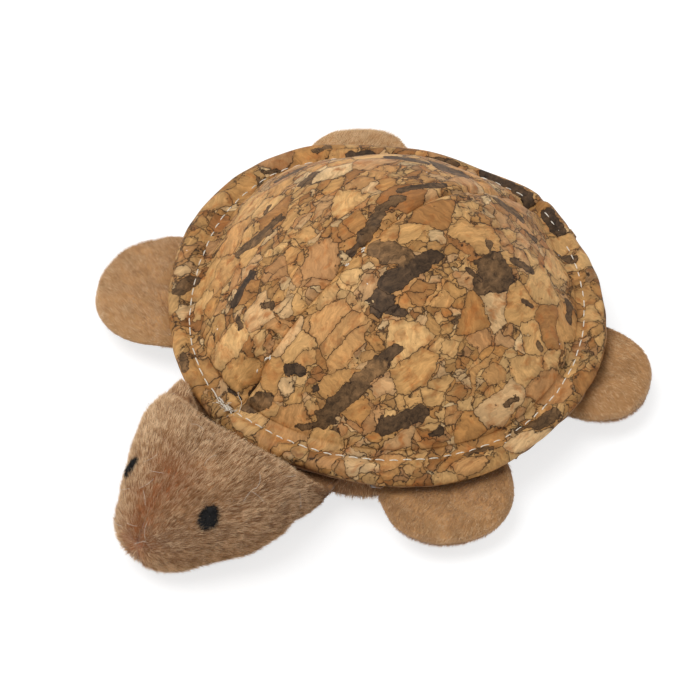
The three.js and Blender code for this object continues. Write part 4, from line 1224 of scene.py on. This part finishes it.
def addTubes(name, middle, up, radius, body, replaced=(), sides=7):
    # a tube round each row of points, as thick as the sixth-power oval along it, so thin at both ends
    count, steps = middle.shape[:2]
    way = np.gradient(middle, axis=1)
    side = np.cross(way, up[:, None])
    side /= np.linalg.norm(side, axis=-1, keepdims=True)
    over = np.cross(side, way)
    over /= np.linalg.norm(over, axis=-1, keepdims=True)
    turn = np.linspace(0, 2 * math.pi, sides, endpoint=False)[:, None]
    ring = side[:, :, None] * np.cos(turn) + over[:, :, None] * np.sin(turn)
    thick = radius * np.sqrt(1 - np.linspace(-1, 1, steps) ** 6)
    points = middle[:, :, None] + ring * thick[:, None, None]
    faces = gridFaces(steps, sides, True)[None] + (steps * sides * np.arange(count))[:, None, None]
    piece = closeDoubles(meshObject(name, points.reshape(-1, 3), faces.reshape(-1, 4)), outward=True)
    return finishPiece(piece, whiteThread, body, replaced)


def addStitches(name, start, end, up, body, replaced=(), radius=threads["radius"], lift=threads["lift"]):
    # each stitch goes from hole to hole, arched along the normal by a sine
    share = np.linspace(0, 1, threads["rings"])[None, :, None]
    arch = np.sin(math.pi * share)
    middle = start[:, None] + (end - start)[:, None] * share
    middle = middle + up[:, None] * (lift * arch - threads["dip"] * (1 - arch) ** 2)
    addTubes(name, middle, up, radius, body, replaced=replaced)


def addBrimThreads():
    # holes at even steps along the stitch line, each put on the row of the shell that lies nearest to it
    count = threads["brimStitches"]
    fine = np.linspace(-math.pi, math.pi, 2001)
    line = outlineXY(fine, shell["stitch"])
    reach = np.concatenate([[0], np.cumsum(np.linalg.norm(np.diff(line, axis=0), axis=1))])
    hole = np.arange(count) / count * reach[-1]
    angles = [np.interp(hole + share * reach[-1] / count, reach, fine) for share in (0.0, threads["stitchShare"])]
    ends = []
    for angle in angles:
        grid = shellGrid(angle, shell["domeRows"])
        normal = gridNormals(grid, True)
        normal *= np.sign(normal[..., 2:].mean())
        grid = seamAside(shellRelief(grid, normal))
        target = seamAside(outlineXY(angle, shell["stitch"]))
        row = np.argmin(np.linalg.norm(grid[:shell["domeRows"] + 20, :, :2] - target, axis=-1), axis=0)
        ends.append(grid[row, np.arange(count)])
    up = np.tile([0.0, 0.0, 1.0], (count, 1))
    wobble = np.random.default_rng(91).normal(size=(2, count, 3)) * [threads["wobble"], threads["wobble"], 0.0]
    addStitches("brim_stitches", ends[0] + wobble[0], ends[1] + wobble[1], up, "root", ["brim_topstitch"])
    under = [end * [1, 1, 0] + [0, 0, threads["underBrim"]] for end in ends]
    addStitches("brim_stitches_below", under[0], under[1], -up, "root", ["brim_bobbin_thread"])


def addSeamThreads():
    # holes at even steps along the dome's profile, on both sides of the seam allowances
    count = threads["seamStitches"]
    grid = shellGrid(np.array([-math.pi / 2, math.pi / 2]), shell["domeRows"])[:shell["domeRows"] - 4]
    profile = np.concatenate([grid[::-1, 0], grid[1:, 1]])
    reach = np.concatenate([[0], np.cumsum(np.linalg.norm(np.diff(profile, axis=0), axis=1))])
    step = (reach[-1] - threads["seamStart"] - threads["seamEnd"]) / count
    hole = threads["seamStart"] + step * np.arange(count)
    ends = [np.stack([np.interp(hole + share * step, reach, profile[:, axis]) for axis in range(3)], 1)
            for share in (0.0, threads["stitchShare"])]
    for name, side, node in (("seam_stitches", 1, "centre_seam_thread"),
                             ("seam_stitches_back", -1, "centre_seam_bobbin_thread")):
        shift = np.array([side * threads["seamAside"], 0.0, -threads["seamDepth"]])
        up = np.tile([float(side), 0.0, 0.0], (count, 1))
        addStitches(name, seamAside(ends[0]) + shift, seamAside(ends[1]) + shift, up, "root", [node])


# Loose ends: the frayed back-tack where the topstitch starts, a thread end that lies over the brim, thread
# that shows in the middle seam, and pale fibres caught in the pile of the head
looseEnds = {
    "backTack": (-0.6, -46.7), "tackReach": (1.3, 0.4, 0.12), "tackStitches": 12, "tackRadius": 0.11,
    "thread": [(2.8, -46.0), (1.6, -44.7), (0.2, -42.9), (-1.4, -42.4), (-2.5, -41.5)], "threadRadius": 0.06,
    "seamSpots": [(0.8, -7.3), (0.7, -11.8), (0.6, -35.0)], "spotStitches": 5, "spotReach": (0.25, 0.3, 0.1),
    "frays": 46, "frayLength": 1.2, "fibreRadius": 0.032, "fibres": 18, "fibreLength": 3.6, "above": 0.7,
}


def onShell(places):
    # the shell's own points nearest to places given by their x and y
    grid = shellGrid(np.linspace(-math.pi, math.pi, 1081), shell["domeRows"])
    normal = gridNormals(grid, False)
    normal *= np.sign(normal[..., 2:].mean())
    flat = seamAside(shellRelief(grid, normal))[:shell["domeRows"] + 20].reshape(-1, 3)
    away = ((flat[None, :, :2] - np.array(places)[:, None]) ** 2).sum(-1)
    return flat[np.argmin(away, axis=1)]


def curls(dice, start, way, up, length, steps=10):
    # fibres that leave their start along a way and bend aside and up by arcs of their own
    share = np.linspace(0, 1, steps)[None, :, None]
    side = np.cross(way, up)
    bend = dice.normal(size=(len(start), 2))[:, None]
    return (start[:, None] + way[:, None] * share * length
            + side[:, None] * bend[..., :1] * 0.45 * length * share ** 2
            + up[:, None] * (0.12 * np.abs(bend[..., 1:]) * length * np.sin(math.pi * share)))


def addLooseEnds(settings):
    dice = np.random.default_rng(95)
    tack, *spots = onShell([settings["backTack"]] + settings["seamSpots"])
    for name, places, count, reach, radius in (
            ("back_tack", [tack], settings["tackStitches"], settings["tackReach"], settings["tackRadius"]),
            ("seam_spots", spots, settings["spotStitches"], settings["spotReach"], threads["radius"])):
        middle = np.repeat(places, count, 0) + [0, 0, 0.1] + dice.normal(size=(len(places) * count, 3)) * reach
        half = dice.normal(size=middle.shape) * reach * [0.8, 1.0, 0.5]
        addStitches(name, middle - half, middle + half, np.tile([0.0, 0.0, 1.0], (len(middle), 1)), "root",
                    radius=radius, lift=0.25)
    up = np.array([[0.0, 0.0, 1.0]])
    middle = splineThrough(onShell(settings["thread"]) + [0, 0, 0.25], 40)[None]
    addTubes("loose_thread", middle, up, settings["threadRadius"], "root")
    start = tack + [0, 0, 0.15] + dice.normal(size=(settings["frays"], 3)) * settings["tackReach"]
    turn = dice.uniform(-math.pi, math.pi, settings["frays"])
    way = np.stack([np.cos(turn), np.sin(turn), np.full(settings["frays"], 0.35)], -1)
    frays = curls(dice, start, way, np.tile(up, (settings["frays"], 1)), settings["frayLength"])
    addTubes("back_tack_frays", frays, way[:, [1, 0, 2]] * [1, -1, 1], settings["fibreRadius"], "root", sides=4)
    seen = np.argwhere((headNormal[..., 2] > 0.35) & (brimDistance(headSkin) > 3))
    row, column = seen[dice.integers(0, len(seen), settings["fibres"])].T
    facing = headNormal[row, column]
    way = np.cross(facing, dice.normal(size=(settings["fibres"], 3)))
    way /= np.linalg.norm(way, axis=1)[:, None]
    fibres = curls(dice, headSkin[row, column] + facing * settings["above"], way, facing, settings["fibreLength"])
    addTubes("head_stray_fibres", fibres, facing, settings["fibreRadius"], "head", sides=4)


addBrimThreads()
addSeamThreads()
addLooseEnds(looseEnds)
print("threads made")


# Stuffing: siliconised polyester fibre, in lumps. Never seen from outside; white and matt.
def waddingMaterial():
    material, tree = newMaterial("polyesterFibreWhite")
    where = addNode(tree, "ShaderNodeTexCoord").outputs["Object"]
    tuft = addNode(tree, "ShaderNodeTexNoise", {"Vector": where, "Scale": 400.0, "Detail": 6.0, "Distortion": 1.5})
    shade = addNode(tree, "ShaderNodeValToRGB", {"Fac": tuft})
    setRamp(shade, [(0.3, "d9d5cc"), (0.65, "f6f4ef")])
    bump = addNode(tree, "ShaderNodeBump", {"Height": tuft, "Distance": 0.0006})
    skin = addNode(tree, "ShaderNodeBsdfPrincipled", {"Base Color": shade, "Normal": bump, "Roughness": 0.95})
    addNode(tree, "ShaderNodeOutputMaterial", {"Surface": skin})
    return material


wadding = waddingMaterial()
stuffing = {
    "lump": 0.3, "lumpSize": 7.0, "columns": 120, "fromShell": 1.9, "narrower": 0.955, "fromSkin": 1.7,
    "inPaw": 1.3, "floor": 1.8, "grooveDepth": 3.4, "grooveHalfWidth": 2.2,
}


def addWadding(name, grid, body, node, seed):
    # a closed form with uneven lumps
    normal = gridNormals(grid, True)
    outward = grid - grid.mean((0, 1))
    normal *= np.sign((outward * normal).sum(-1).mean())
    lump = stuffing["lump"] * ripple(grid.reshape(-1, 3), stuffing["lumpSize"], seed).reshape(grid.shape[:2])
    lump[[0, -1]] = 0
    grid = grid + normal * lump[..., None]
    rows, columns = grid.shape[:2]
    piece = closeDoubles(meshObject(name, grid.reshape(-1, 3), gridFaces(rows, columns, True)), outward=True)
    finishPiece(piece, wadding, body, [node])


def addStuffing():
    # the dome, the belly's wall, the head and the paws drawn in by a few mm, and a roll across the neck
    angle = np.linspace(-math.pi, math.pi, stuffing["columns"], endpoint=False)
    dome = domeRows(angle, np.sin(np.linspace(0, math.pi / 2, 30)))
    inner = dome * [stuffing["narrower"], stuffing["narrower"], 1] - [0, 0, stuffing["fromShell"]]
    # room for the seam allowances
    groove = np.exp(-((dome[..., 0] - shell["seamX"]) / stuffing["grooveHalfWidth"]) ** 4)
    inner[..., 2] -= stuffing["grooveDepth"] * groove * smoothStep(15.5, 19, dome[..., 2])
    inner = seamAside(inner)
    inset, height = splineThrough([row for row in belly["wall"][::-1] if row[0] > 5][1:], 24).T
    radius = outlineRadius(angle, shell["brim"])[None] - inset[:, None] - stuffing["fromSkin"]
    lower = np.stack([radius * np.cos(angle), radius * np.sin(angle),
                      np.broadcast_to(np.maximum(height[:, None], stuffing["floor"]), radius.shape)], -1)
    centre = np.zeros((1, len(angle), 3))
    centre[..., 2] = stuffing["floor"]
    addWadding("body_wadding", np.concatenate([inner, lower[1:], centre]), "root", "body_stuffing", 101)
    addWadding("head_wadding", headGrid(stuffing["fromSkin"])[:, :-1], "head", "head_stuffing", 102)
    way = np.linspace(-1, 1, 24)[:, None, None]
    turn = np.linspace(0, 2 * math.pi, 24, endpoint=False)[None, :, None]
    thick = neck["rollRadius"] * np.sqrt(1 - way ** 4)
    roll = neckPlace + way * neck["rollHalfWidth"] * headAside + thick * (
        np.cos(turn) * headAhead + np.sin(turn) * np.array([0, 0, 1.0]))
    addWadding("neck_wadding", roll, "neck", "neck_stuffing", 103)
    for number, (name, direction, length, halfWidth) in enumerate(paws["places"]):
        upper, lower = [pawGrid(direction, length, halfWidth, stuffing["inPaw"], side) for side in (1, -1)]
        addWadding(f"paw_{name}_wadding", np.concatenate([upper, lower[-2::-1]]), f"leg_{name}",
                   f"leg_{name}_wadding", 104 + number)


addStuffing()
print("stuffing made")
